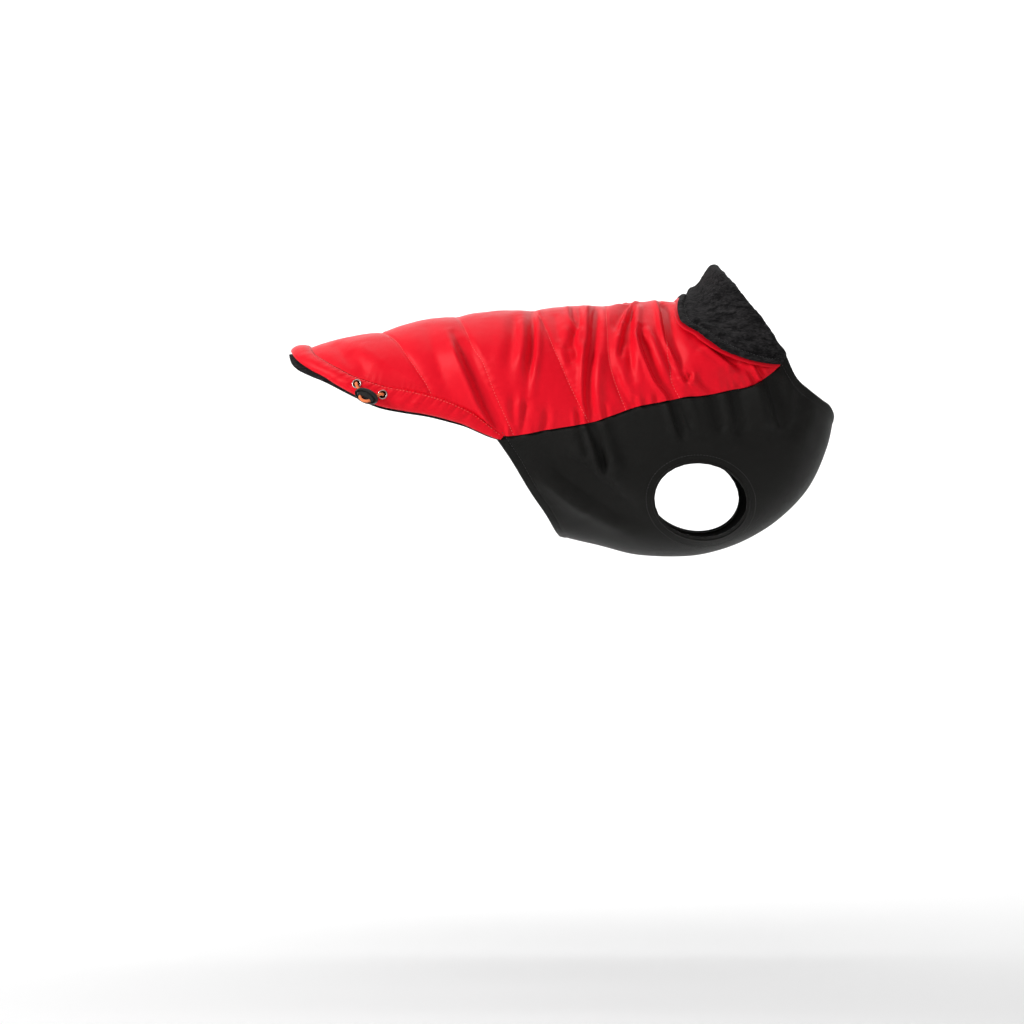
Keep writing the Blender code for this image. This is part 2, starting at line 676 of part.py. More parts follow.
def collar_path(round_neck, stand_cells, roll_cells, fall_cells, beyond):
    """Rows of (middle point, direction of the fleece side) from the neck seam over the roll to the edge."""
    side = np.abs(round_neck)
    seam, rim, edge = (read_route(rows, side) for rows in (NECK_SEAM, COLLAR_RIM, COLLAR_EDGE))
    fall_offset = FALL_OFFSET + (TIP_FALL_OFFSET - FALL_OFFSET) * side**3
    radius = (fall_offset - STAND_OFFSET) / 2
    middles, fleece_ways = [], []
    stand = np.linalg.norm(form(rim[..., 0], rim[..., 1]) - form(seam[..., 0], seam[..., 1]), axis=-1)
    for share in np.linspace(SEAM_GAP / stand, 1, stand_cells + 1)[:-1]:
        spot = seam + (rim - seam) * share[..., None]
        normal = outward(spot[..., 0], spot[..., 1])
        middles.append(form(spot[..., 0], spot[..., 1]) + normal * STAND_OFFSET)
        fleece_ways.append(-normal)
    at_rim, normal = form(rim[..., 0], rim[..., 1]), outward(rim[..., 0], rim[..., 1])
    up = at_rim - form(*np.moveaxis(rim + 0.2 * (seam - rim), -1, 0))
    up -= normal * (up * normal).sum(-1, keepdims=True)
    up /= np.linalg.norm(up, axis=-1, keepdims=True)
    for turn in np.linspace(0, math.pi, roll_cells + 1):
        way = -normal * math.cos(turn) + up * math.sin(turn)
        middles.append(at_rim + normal * (STAND_OFFSET + radius)[..., None] + way * radius[..., None])
        fleece_ways.append(way)
    width = np.linalg.norm(form(edge[..., 0], edge[..., 1]) - at_rim, axis=-1)
    for share in np.linspace(0, 1, fall_cells + 1)[1:]:
        stretched = share * (1 + beyond / np.maximum(width, 12.0))
        spot = rim + (edge - rim) * stretched[..., None]
        normal = outward(spot[..., 0], spot[..., 1])
        middles.append(form(spot[..., 0], spot[..., 1]) + normal * (fall_offset + 0.8 * share)[..., None])
        fleece_ways.append(normal)
    middles, fleece_ways = np.stack(middles, axis=-2), np.stack(fleece_ways, axis=-2)
    for rows in (middles, fleece_ways):
        rows[..., 1] *= np.where(round_neck < 0, -1.0, 1.0)[..., None]
    return middles, fleece_ways


def collar_fleece():
    """Fleece side of the collar: inside the stand, over the roll, and over the part that is turned down."""
    round_neck = np.linspace(-COLLAR_END, COLLAR_END, 37)
    middles, ways = collar_path(round_neck, 3, 4, 4, 0.0)
    near, far = LAYER_GAP / 2, LAYER_GAP / 2 + FLEECE_THICKNESS
    return cloth_wall("collar_fleece", middles + ways * far, middles + ways * near, "black_fleece")


def collar_shell():
    """Red side of the collar: it shows only as a lip below the turned-down edge."""
    round_neck = np.linspace(-COLLAR_END, COLLAR_END, 37)
    middles, ways = collar_path(round_neck, 3, 4, 4, SHELL_LIP)
    near, far = LAYER_GAP / 2, LAYER_GAP / 2 + COLLAR_SHELL_THICKNESS
    return cloth_wall("collar_shell", middles - ways * near, middles - ways * far, "red_shell")


# ---------------------------------------------------------------- chest panel

CHEST_INSIDE, CHEST_OUTSIDE = 2.4, 4.4
CHEST_PATCH = Patch(BELLY_EDGE[::-1], NECKLINE[::-1], BELLY_LINE, SIDE_SEAM)
ARMHOLE_X, ARMHOLE_Z = 53.0, -191.0
ARMHOLE_LENGTH, ARMHOLE_HEIGHT, ARMHOLE_SLANT = 96.0, 77.0, math.radians(12)


def chest_panel():
    """Black stretch cloth under the chest and belly, with an armhole on each side."""
    along_cells, across_cells = 30, 28
    along = shares(along_cells, CHEST_PATCH.along_gap)
    across = shares(across_cells, CHEST_PATCH.across_gap, both_ways=True)
    a, b = np.meshgrid(along, across, indexing="ij")
    on_the_form = CHEST_PATCH.points(a, b, np.zeros_like(a))
    lowered = folds_at(on_the_form, RIGHT_CHEST_FOLDS, 1) + folds_at(on_the_form, LEFT_CHEST_FOLDS, -1)
    height = np.maximum(CHEST_OUTSIDE + 0.8 - lowered, CHEST_INSIDE + 1.2)
    outer = CHEST_PATCH.points(a, b, height)
    inner = CHEST_PATCH.points(a[::2, ::2], b[::2, ::2], np.full(a[::2, ::2].shape, CHEST_INSIDE))
    panel = cloth_wall("chest_panel", outer, inner, "black_stretch")
    hole = new_mesh_of(lambda work: bmesh.ops.create_cone(
        work, cap_ends=True, segments=40, radius1=0.5, radius2=0.5, depth=1
    ), "armholes")
    hole.transform(
        Matrix.Translation((ARMHOLE_X * MM, 0, ARMHOLE_Z * MM))
        @ Matrix.Rotation(ARMHOLE_SLANT, 4, "Y")
        @ Matrix.Diagonal((ARMHOLE_LENGTH * MM, 300 * MM, ARMHOLE_HEIGHT * MM, 1))
        @ Matrix.Rotation(math.pi / 2, 4, "X")
    )
    cut(panel, cutter("armholes", hole))
    return panel


def main():
    clear_scene()
    back_shell()
    back_lining()
    hem_channel()
    eyelet("eyelet_rear", EYELET_REAR)
    eyelet("eyelet_front", EYELET_FRONT)
    cord_lock()
    drawcord()
    collar_shell()
    collar_fleece()
    chest_panel()


main()
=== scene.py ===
import math

import bmesh
import bpy
import numpy as np
from mathutils import Matrix, Vector


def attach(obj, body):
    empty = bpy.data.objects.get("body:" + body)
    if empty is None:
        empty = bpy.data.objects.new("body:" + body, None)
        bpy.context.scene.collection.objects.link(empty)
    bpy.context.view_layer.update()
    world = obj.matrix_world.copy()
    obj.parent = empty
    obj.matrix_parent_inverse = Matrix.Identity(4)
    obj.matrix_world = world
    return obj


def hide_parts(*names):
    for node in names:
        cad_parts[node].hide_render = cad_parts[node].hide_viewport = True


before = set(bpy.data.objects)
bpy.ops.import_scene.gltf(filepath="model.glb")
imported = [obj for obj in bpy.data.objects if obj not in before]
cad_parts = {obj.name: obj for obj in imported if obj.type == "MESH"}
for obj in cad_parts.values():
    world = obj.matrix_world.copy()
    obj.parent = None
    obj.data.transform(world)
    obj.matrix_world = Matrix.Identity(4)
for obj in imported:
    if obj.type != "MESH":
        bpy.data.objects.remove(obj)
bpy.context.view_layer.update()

# ============================================================ fleece lining of the back panel
# Polar fleece cut to the back panel's outline and sewn in behind it at the same seams.
# It runs a few millimetres past the drawcord hem, so it shows as a dark, furry edge round the tail.

MM = 0.001
BACK, BELLY = 0.0, math.pi
WIDEST = 0.45  # share of a section's depth, from the back, at which the trunk is widest
SECTION_COLUMNS = ("back_x", "back_z", "belly_x", "belly_z", "half_width", "square")
SECTIONS = (  # millimetres, from tail to neck
    (-392, -53, -394, -200, 60, 2.3),
    (-335, -43, -338, -208, 70, 2.3),
    (-270, -29, -272, -212, 78, 2.3),
    (-200, -14, -198, -216, 83, 2.3),
    (-130, -8, -118, -221, 87, 2.3),
    (-70, -4, -58, -234, 91, 2.2),
    (-20, -1, 0, -247, 94, 2.2),
    (10, 0, 62, -245, 93, 2.2),
    (29, 0, 119, -222, 89, 2.1),
    (46, 2, 159, -186, 80, 2.1),
    (62, 15, 181, -142, 70, 2.0),
    (80, 41, 190, -101, 60, 2.0),
)


def smooth_read(values, at, mirror_first=False, mirror_last=False):
    """A column read at fractional row numbers, on a smooth curve through its rows."""
    values = np.asarray(values, float)
    first = values[1] if mirror_first else 2 * values[0] - values[1]
    last = values[-2] if mirror_last else 2 * values[-1] - values[-2]
    padded = np.concatenate([[first], values, [last]])
    row = np.clip(np.floor(at).astype(int), 0, len(values) - 2)
    t = at - row
    before, here, after, beyond = (padded[row + k] for k in range(4))
    return here + 0.5 * t * (
        after - before
        + t * (2 * before - 5 * here + 4 * after - beyond + t * (3 * (here - after) + beyond - before))
    )


def section(station):
    station = np.asarray(station, float)
    return {n: smooth_read([row[i] for row in SECTIONS], station) for i, n in enumerate(SECTION_COLUMNS)}


def form(station, angle):
    """Points of the hollow trunk form, in millimetres. Angle 0 is the back line and pi the belly line."""
    row = section(station)
    down_x, down_z = row["belly_x"] - row["back_x"], row["belly_z"] - row["back_z"]
    depth = np.hypot(down_x, down_z)
    down_x, down_z = down_x / depth, down_z / depth
    half = np.where(np.cos(angle) >= 0, WIDEST, 1 - WIDEST) * depth
    reach = (np.abs(np.cos(angle)) / half) ** row["square"]
    reach = (reach + (np.abs(np.sin(angle)) / row["half_width"]) ** row["square"]) ** (-1 / row["square"])
    along = WIDEST * depth - reach * np.cos(angle)
    return np.stack(
        [row["back_x"] + down_x * along, -reach * np.sin(angle), row["back_z"] + down_z * along], axis=-1
    )


def outward(station, angle):
    step = 1e-3
    across = form(station, angle + step) - form(station, angle - step)
    forward = form(station + step, angle) - form(station - step, angle)
    normal = np.cross(across, forward)
    return normal / np.linalg.norm(normal, axis=-1, keepdims=True)


def face_at(station, angle, side):
    """Points of the form and its outward normals, on the wearer's right (1) or left (-1)."""
    points, normals = form(station, angle), outward(station, angle)
    for rows in (points, normals):
        rows[..., 1] *= side
    return points, normals


def lengths_of(line):
    """How far along a line each of its points is."""
    return np.concatenate([[0], np.cumsum(np.linalg.norm(np.diff(line, axis=0), axis=1))])


def bisect(above, low, high):
    """Where a rising test turns true, between low and high."""
    for _ in range(40):
        middle = (low + high) / 2
        over = above(middle)
        low, high = np.where(over, low, middle), np.where(over, middle, high)
    return (low + high) / 2


def section_axis(station):
    row = section(station)
    return row, row["belly_x"] - row["back_x"], row["belly_z"] - row["back_z"]


def on_form(x, z):
    """(station, angle) of the points on the wearer's right whose side view is x, z."""
    x, z = np.asarray(x, float), np.asarray(z, float)

    def is_ahead(station):
        row, down_x, down_z = section_axis(station)
        return down_x * (z - row["back_z"]) - down_z * (x - row["back_x"]) < 0

    station = bisect(is_ahead, 0.0 * x, 0.0 * x + len(SECTIONS) - 1.0)
    row, down_x, down_z = section_axis(station)
    wanted = (x - row["back_x"]) * down_x + (z - row["back_z"]) * down_z

    def is_lower(angle):
        point = form(station, angle)
        return (point[..., 0] - row["back_x"]) * down_x + (point[..., 2] - row["back_z"]) * down_z > wanted

    return station, bisect(is_lower, 0.0 * x, 0.0 * x + math.pi)


def on_line(x, line):
    return float(bisect(lambda station: section(station)[line + "_x"] > x, 0.0, len(SECTIONS) - 1.0))


def route(*places):
    """(station, angle) rows of a line on the form. A place is side-view x and z, or x and BACK or BELLY."""
    stations, angles = on_form([x for x, _ in places], [z for _, z in places])
    for k, (x, z) in enumerate(places):
        if z == BACK:
            stations[k], angles[k] = on_line(x, "back"), BACK
        elif z == BELLY:
            stations[k], angles[k] = on_line(x, "belly"), BELLY
    return np.stack([stations, angles], axis=-1)


def read_route(rows, share):
    """(station, angle) at shares of a route's length, on a smooth curve through its rows."""
    length = lengths_of(form(rows[:, 0], rows[:, 1]))
    at = np.interp(np.asarray(share) * length[-1], length, np.arange(len(rows)))
    crossing = rows[0, 1] != rows[-1, 1]
    ends = [crossing and angle in (BACK, BELLY) for angle in (rows[0, 1], rows[-1, 1])]
    return np.stack([smooth_read(rows[:, 0], at, *ends), smooth_read(rows[:, 1], at)], axis=-1)


SIDE_SEAM = route(
    (-145, -129.5), (-128, -128), (-103, -123), (-73, -118), (-53, -114), (-36, -108), (-8, -98.5),
    (32, -90.5), (52, -88.5), (82, -82.5), (106, -76.5), (116, -70.5), (124, -64.5), (131, -58),
)
LINING_EDGE = route(
    (-364, BACK), (-361, -54), (-353, -62), (-339, -68.5), (-324, -74.5), (-310, -81.5), (-291, -90.9),
    (-270, -99.8), (-245, -104.8), (-222, -108.3), (-199, -113.8), (-184, -118), (-170, -124),
    (-159, -128.6), (-151, -131),
)
NECK_SEAM = route((50, BACK), (53, 0), (60, -11), (74, -26), (96, -41), (116, -52), (131, -58))
LINING_BACK_LINE = route((-364, BACK), (-220, BACK), (-100, BACK), (0, BACK), (50, BACK))
LINING_SEAM = np.concatenate([route((-151, -131)), SIDE_SEAM])


class Panel:
    """A cloth panel's half between four cutting lines: tail, neck, middle and side. The other mirrors it."""

    def __init__(self, tail, neck, middle, side):
        self.tail, self.neck, self.middle, self.side = tail, neck, middle, side

    def spots(self, along, across):
        side = np.abs(across)
        a, b = along[..., None], side[..., None]
        corners = (
            (1 - a) * (1 - b) * self.middle[0] + a * (1 - b) * self.middle[-1]
            + (1 - a) * b * self.side[0] + a * b * self.side[-1]
        )
        spots = (
            (1 - b) * read_route(self.middle, along) + b * read_route(self.side, along)
            + (1 - a) * read_route(self.tail, side) + a * read_route(self.neck, side) - corners
        )
        return spots[..., 0], spots[..., 1]

    def surface(self, along, across):
        """Points of the form and its outward normals, on the side that `across` says."""
        station, angle = self.spots(along, across)
        apart = 0.3 * np.abs(across)  # each half stays on its own side of the middle
        angle = np.clip(angle, BACK + apart, BELLY - apart)
        return face_at(station, angle, np.where(across < 0, -1.0, 1.0))


def woven(name, cells, place):
    """A cloth grid with its threads as a UV map in metres. place() turns shares of each way into points."""
    columns, rows = cells
    grid = bmesh.new()
    bmesh.ops.create_grid(grid, x_segments=columns, y_segments=rows, size=0.5)
    shares = np.array([(v.co.x + 0.5, v.co.y + 0.5) for v in grid.verts])
    points = place(shares[:, 0], shares[:, 1])
    index = np.rint(shares * (columns, rows)).astype(int)
    table = np.zeros((columns + 1, rows + 1, 3))
    table[index[:, 0], index[:, 1]] = points
    warp = np.zeros(table.shape[:2])
    warp[1:] = np.cumsum(np.linalg.norm(np.diff(table, axis=0), axis=-1), axis=0)
    weft = np.zeros(table.shape[:2])
    weft[:, 1:] = np.cumsum(np.linalg.norm(np.diff(table, axis=1), axis=-1), axis=1)
    weft -= weft[:, rows // 2, None]
    threads = np.stack([warp, weft], axis=-1)[index[:, 0], index[:, 1]] * MM
    layer = grid.loops.layers.uv.verify()
    for vert, point in zip(grid.verts, points):
        vert.co = Vector(point) * MM
    for face in grid.faces:
        for loop in face.loops:
            loop[layer].uv = threads[loop.vert.index]
    return new_piece(name, grid)


def new_piece(name, work, smooth=True):
    mesh = bpy.data.meshes.new(name)
    work.normal_update()
    work.to_mesh(mesh)
    work.free()
    piece = bpy.data.objects.new(name, mesh)
    bpy.context.scene.collection.objects.link(piece)
    if smooth:
        mesh.shade_smooth()
    return piece


def face_outwards(piece, middle):
    """Turns a cloth sheet's faces away from a point inside the trunk."""
    mesh = piece.data
    step = max(1, len(mesh.polygons) // 500)
    outwards = sum(1 if (p.center - middle).dot(p.normal) > 0 else -1 for p in list(mesh.polygons)[::step])
    if outwards < 0:
        mesh.flip_normals()


def thicken(piece, thickness):
    """Gives a sheet its thickness, inwards from its face."""
    solid = piece.modifiers.new("thickness", "SOLIDIFY")
    solid.thickness = thickness
    solid.offset = -1
    solid.use_even_offset = False
    apply_modifiers(piece)


def apply_modifiers(piece):
    shaped = bpy.data.meshes.new_from_object(piece.evaluated_get(bpy.context.evaluated_depsgraph_get()))
    piece.modifiers.clear()
    piece.data = shaped
    shaped.name = piece.name


TRUNK_MIDDLE = Vector((-0.08, 0, -0.11))


def waves(points, seed, lengths, count, stretch=(1, 1, 1)):
    """Soft uneven relief between -1 and 1, from seeded sine waves of these lengths in millimetres."""
    draw = np.random.default_rng(seed)
    total = np.zeros(len(points))
    for _ in range(count):
        way = draw.normal(size=3) / np.array(stretch)
        way *= 2 * math.pi / draw.uniform(*lengths) / np.linalg.norm(way * np.array(stretch))
        total += np.sin(points @ way + draw.uniform(0, 2 * math.pi))
    return total / math.sqrt(count / 2) / 2


def node(tree, kind, place, **values):
    made = tree.nodes.new(kind)
    made.location = place
    for key, value in values.items():
        if hasattr(made, key):
            setattr(made, key, value)
        else:
            made.inputs[key.replace("_", " ")].default_value = value
    return made


def join(tree, *links):
    """Links nodes, from rows of (from, its socket, to, its socket)."""
    for start, leaving, end, entering in links:
        tree.links.new(start.outputs[leaving], end.inputs[entering])


def effect(name, inputs, outputs):
    """An empty shader node group with named sockets: (name, default) in, names of values out."""
    group = bpy.data.node_groups.new(name, "ShaderNodeTree")
    for label, default in inputs:
        kind = "NodeSocketVector" if default is None else "NodeSocketFloat"
        socket = group.interface.new_socket(label, in_out="INPUT", socket_type=kind)
        if default is not None:
            socket.default_value = default
    for label in outputs:
        group.interface.new_socket(label, in_out="OUTPUT", socket_type="NodeSocketFloat")
    entry = group.nodes.new("NodeGroupInput")
    entry.location = (-900, 0)
    leave = group.nodes.new("NodeGroupOutput")
    leave.location = (600, 0)
    return group, entry, leave


def cloth_mottle():
    """Uneven dye and handling marks: a broad and a fine noise, added up."""
    group, entry, leave = effect(
        "cloth_mottle", [("Vector", None), ("Broad", 14.0), ("Fine", 160.0)], ["Value"]
    )
    broad = node(group, "ShaderNodeTexNoise", (-600, 150), Detail=3.0)
    fine = node(group, "ShaderNodeTexNoise", (-600, -150), Detail=2.0)
    blend = node(group, "ShaderNodeMix", (-200, 0), data_type="FLOAT", Factor=0.4)
    for noise, scale in ((broad, "Broad"), (fine, "Fine")):
        join(group, (entry, "Vector", noise, "Vector"), (entry, scale, noise, "Scale"))
    join(group, (broad, "Fac", blend, "A"), (fine, "Fac", blend, "B"), (blend, "Result", leave, "Value"))
    return group


def brushed_nap():
    """Brushed pile: tufts that lie one way, in clumps, for a bump, and for a painted shade in the hollows of
    the pile with painted light where it stands highest.
    """
    group, entry, leave = effect(
        "brushed_nap", [("Vector", None), ("Tufts", 700.0), ("Clumps", 160.0), ("Lean", 0.35)],
        ["Height", "LitTips"],
    )
    comb = node(group, "ShaderNodeCombineXYZ", (-700, -200), Y=1.0, Z=1.0)
    leaned = node(group, "ShaderNodeVectorMath", (-500, 0), operation="MULTIPLY")
    tufts = node(group, "ShaderNodeTexNoise", (-300, 150), Detail=4.0, Roughness=0.6, Distortion=0.6)
    clumps = node(group, "ShaderNodeTexNoise", (-300, -150), Detail=2.0, Distortion=0.8)
    height = node(group, "ShaderNodeMix", (0, 0), data_type="FLOAT", Factor=0.45)
    lit_tips = node(group, "ShaderNodeMapRange", (300, -150), From_Min=0.42, From_Max=0.72)
    join(
        group, (entry, "Lean", comb, "X"), (entry, "Vector", leaned, 0), (comb, "Vector", leaned, 1),
        (leaned, "Vector", tufts, "Vector"), (entry, "Tufts", tufts, "Scale"),
        (leaned, "Vector", clumps, "Vector"), (entry, "Clumps", clumps, "Scale"),
        (tufts, "Fac", height, "A"), (clumps, "Fac", height, "B"), (height, "Result", leave, "Height"),
        (height, "Result", lit_tips, "Value"), (lit_tips, "Result", leave, "LitTips"),
    )
    return group


MOTTLE, NAP = cloth_mottle(), brushed_nap()


def use(tree, group, place, **values):
    """Places a node group in a material, with its own values."""
    made = tree.nodes.new("ShaderNodeGroup")
    made.node_tree = group
    made.location = place
    for label, value in values.items():
        made.inputs[label].default_value = value
    return made


def colour_mix(tree, place, dark, light):
    mix = tree.nodes.new("ShaderNodeMix")
    mix.data_type = "RGBA"
    mix.location = place
    mix.inputs["A"].default_value = (*dark, 1)
    mix.inputs["B"].default_value = (*light, 1)
    return mix


def bump(tree, place, strength, distance):
    return node(tree, "ShaderNodeBump", place, Strength=strength, Distance=distance)


def new_material(name, roughness, **constants):
    """A Principled material, with constant values straight on the shader's own sockets."""
    made = bpy.data.materials.new(name)
    made.use_nodes = True
    shader = made.node_tree.nodes["Principled BSDF"]
    shader.inputs["Roughness"].default_value = roughness
    for label, value in constants.items():
        shader.inputs[label.replace("_", " ")].default_value = value
    return made, made.node_tree, shader


# Painted shade in the hollows of the fleece's pile, and painted light where the pile stands highest.
FLEECE_SHADED_HOLLOW, FLEECE_LIT_TIP = (0.0045, 0.0042, 0.0045), (0.078, 0.073, 0.075)


def fleece_material():
    made, tree, shader = new_material(
        "charcoal_fleece", 0.95, Sheen_Weight=0.06, Sheen_Roughness=0.5, Specular_IOR_Level=0.05
    )
    threads = node(tree, "ShaderNodeTexCoord", (-1200, 0))
    nap = use(tree, NAP, (-900, 0))
    mottle = use(tree, MOTTLE, (-900, -300), Broad=40.0, Fine=300.0)
    shade = node(tree, "ShaderNodeMath", (-650, -200), operation="MULTIPLY")
    # Colour: painted shade in the pile's hollows and painted light on its highest tufts, times a mottle of
    # uneven tone.
    colour = colour_mix(tree, (-400, 100), FLEECE_SHADED_HOLLOW, FLEECE_LIT_TIP)
    relief = bump(tree, (-400, -300), 1.0, 0.0022)
    join(
        tree, (threads, "Object", nap, "Vector"), (threads, "Object", mottle, "Vector"),
        (nap, "LitTips", shade, 0), (mottle, "Value", shade, 1), (shade, "Value", colour, "Factor"),
        (nap, "Height", relief, "Height"), (colour, "Result", shader, "Base Color"),
        (relief, "Normal", shader, "Normal"),
    )
    return made


FLEECE = fleece_material()
LINING_PANEL = Panel(LINING_EDGE, NECK_SEAM, LINING_BACK_LINE, LINING_SEAM)
LINING_THICKNESS = 1.8


def lining_place(along, across):
    points, normals = LINING_PANEL.surface(0.003 + 0.996 * along, (2 * across - 1) * 0.9995)
    pile = 0.22 * waves(points, 5, (5, 14), 30)
    return points + normals * (LINING_THICKNESS + pile)[:, None]


lining = woven("fleece_lining", (200, 150), lining_place)
face_outwards(lining, TRUNK_MIDDLE)
thicken(lining, LINING_THICKNESS * MM)
lining.data.materials.append(FLEECE)
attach(lining, "root")
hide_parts("back_lining")

# ============================================================ red back panel
# Light woven polyester over a thin filling, quilted in chevrons to its lining and sewn in all round.
# The filling lifts it between the seams; the surplus length lies in soft folds that run down the flanks.

HEM_STITCH = route(
    (-341, BACK), (-336, -49), (-322, -57), (-303, -66), (-289, -71.5), (-261, -79), (-241, -82),
    (-215, -87.5), (-199, -92.5), (-184, -99), (-172, -105.5), (-161, -114), (-150, -123), (-144, -127),
)
BACK_LINE = route((-341, BACK), (-220, BACK), (-100, BACK), (0, BACK), (50, BACK))
QUILT_LINES = (
    route((-268, BACK), (-247, -41), (-232, -61), (-222, -75), (-216, -86)),
    route((-191, BACK), (-178, -34), (-164, -57), (-154, -82), (-143, -106), (-134, -126)),
    route((-114, BACK), (-99, -30), (-86, -59), (-78, -77), (-70, -93), (-59, -113)),
    route((-40, BACK), (-40, -28), (-39, -51), (-35, -68), (-31, -80), (-22, -102)),
    route((14, BACK), (17, -20), (19, -45), (21, -60), (23, -74), (31, -90)),
)
SHELL_FACE = 4.4  # of the cloth on a sewn line, from the form
SHELL_LOW = 2.5  # the deepest that a fold goes, just over the lining
SEAM_LOW = 3.2  # where the side seam joins the panels
SHELL_LOFT, SHELL_REACH = 3.4, 15.0
BUNCH_HEIGHT = 4.0

# Folds as they lie on the wearer's right: places down the flank, then depth (a ridge is below zero),
# half width, lean (above zero the tail side is steeper) and how sharp the bottom is (2 is soft).
FOLDS = (
    (((-193, -29), (-185, -46), (-176, -65), (-162, -96), (-149, -120), (-144, -130)), 4.2, 6.0, 0.75, 1.3),
    (((-184, -34), (-172, -60), (-158, -92), (-146, -118), (-142, -128)), 2.0, 3.6, 0.2, 1.5),
    (((-201, -38), (-192, -60), (-178, -92), (-166, -108)), -1.4, 8.0, 0.0, 2.0),
    (((-131, -12), (-134, -30), (-138, -50), (-139, -66)), 1.6, 6.0, 0.0, 1.8),
    (((-114, -4), (-115, -37), (-118, -62), (-121, -84)), 3.2, 4.2, -0.5, 1.3),
    (((-125, -16), (-124, -38), (-128, -60)), -1.3, 5.0, 0.0, 2.0),
    (((-121, -88), (-123, -104), (-126, -124), (-128, -138)), 2.2, 3.8, 0.3, 1.4),
    (((-134, -84), (-134, -100), (-131, -121), (-130, -136)), 1.6, 4.0, 0.0, 1.6),
    (((-101, -98), (-101, -110), (-104, -122), (-106, -136)), 1.6, 3.2, 0.0, 1.6),
    (((-143, -112), (-145, -126), (-147, -140)), 1.5, 2.6, 0.0, 1.6),
    (((-92, -10), (-90, -26), (-84, -40)), 1.2, 5.0, 0.0, 1.8),
    (((-74, -2), (-74, -14), (-70, -22)), 2.2, 2.8, 0.3, 1.4),
    (((-68, -2), (-67, -12), (-69, -28)), 2.2, 3.0, -0.4, 1.4),
    (((-71, -22), (-74, -37), (-71, -48), (-74, -57)), 3.4, 3.8, -0.4, 1.4),
    (((-81, -38), (-79, -48), (-75, -58)), 1.6, 4.2, 0.3, 1.5),
    (((-70, -98), (-69, -112), (-68, -128)), 1.7, 2.8, 0.3, 1.5),
    (((-51, BACK), (-53, -12), (-55, -32), (-59, -60), (-60, -83), (-58, -103), (-55, -116), (-53, -128)),
     4.6, 4.4, 0.6, 1.3),
    (((-47, -40), (-50, -62), (-51, -84), (-49, -104)), -1.4, 5.0, 0.0, 2.0),
    (((-44, -94), (-42, -106), (-41, -120)), 1.4, 2.6, 0.0, 1.5),
    (((-33, -60), (-29, -76), (-22, -88), (-14, -99), (-10, -109)), 1.8, 3.8, -0.3, 1.5),
    (((-12, BACK), (-19, -3), (-25, -11), (-29, -20), (-30, -30)), 5.2, 4.4, -0.7, 1.25),
    (((-22, -12), (-23, -31), (-26, -43), (-27, -56)), 3.0, 3.6, 0.3, 1.4),
    (((-13, -2), (-17, -20), (-18, -42), (-17, -60), (-15, -73)), 4.2, 4.2, -0.3, 1.35),
    (((-15, -86), (-13, -98), (-12, -112)), 1.5, 2.6, 0.0, 1.5),
    (((-6, -24), (-7, -33), (-2, -46), (4, -61), (10, -73), (19, -84), (25, -94), (30, -104)),
     5.0, 4.2, 0.7, 1.25),
    (((-2, -20), (7, -43), (19, -72)), -1.8, 5.0, 0.0, 2.0),
    (((7, -84), (9, -94), (11, -106)), 1.4, 2.4, 0.0, 1.5),
    (((14, BACK), (17, -8), (18, -18), (21, -32), (27, -46), (32, -57), (35, -67)), 6.0, 4.8, 0.8, 1.2),
    (((35, -67), (38, -73), (41, -70), (40, -65)), 2.8, 2.2, 0.0, 1.6),
    (((46, -66), (56, -77), (66, -85), (74, -95)), 1.8, 4.6, 0.2, 1.6),
    (((58, -34), (71, -44), (81, -51), (91, -60)), 5.6, 6.0, 0.5, 1.5),
    (((46, -44), (60, -56), (76, -66)), -1.6, 6.0, 0.0, 2.0),
    (((104, -52), (111, -65), (117, -73), (122, -82)), 2.6, 2.4, 0.4, 1.3),
    (((98, -62), (103, -70), (107, -78), (110, -88)), 1.6, 2.4, 0.0, 1.5),
    (((88, -74), (92, -82), (95, -92)), 1.2, 2.4, 0.0, 1.5),
    (((-300, -48), (-288, -58), (-280, -70)), 1.2, 8.0, 0.0, 2.0),
    (((-318, -42), (-304, -52), (-292, -64)), 0.9, 7.0, 0.0, 2.0),
    (((-222, -20), (-214, -44), (-204, -70), (-196, -86)), 1.1, 9.0, 0.0, 2.0),
)
FAR_SIDE_SEED = 41


def far_side_folds():
    """Folds like those of the near side, each moved, stretched and deepened a little differently."""
    draw = np.random.default_rng(FAR_SIDE_SEED)
    rows = []
    for places, depth, half_width, lean, sharp in FOLDS:
        shift_x, shift_z = draw.uniform(-7, 7), draw.uniform(-4, 4)
        stretch, turn = draw.uniform(0.8, 1.15), draw.uniform(-0.12, 0.12)
        top = np.array(places[0], float)
        moved = []
        for place in places:
            offset = (np.array(place, float) - top) * stretch
            x = top[0] + shift_x + offset[0] - turn * offset[1]
            z = top[1] + shift_z + offset[1] + turn * offset[0]
            moved.append((x, z))
        deeper, wider = draw.uniform(0.7, 1.1), draw.uniform(0.9, 1.2)
        rows.append((tuple(moved), depth * deeper, half_width * wider, lean, sharp))
    return tuple(rows)


def line_on_form(rows, side, spacing=4.0):
    """Points along a route on the form, every few millimetres, on the wearer's right (1) or left (-1)."""
    length = np.linalg.norm(np.diff(form(*rows.T), axis=0), axis=1).sum()
    spots = read_route(rows, np.linspace(0, 1, max(3, int(length / spacing))))
    return face_at(spots[:, 0], spots[:, 1], side)


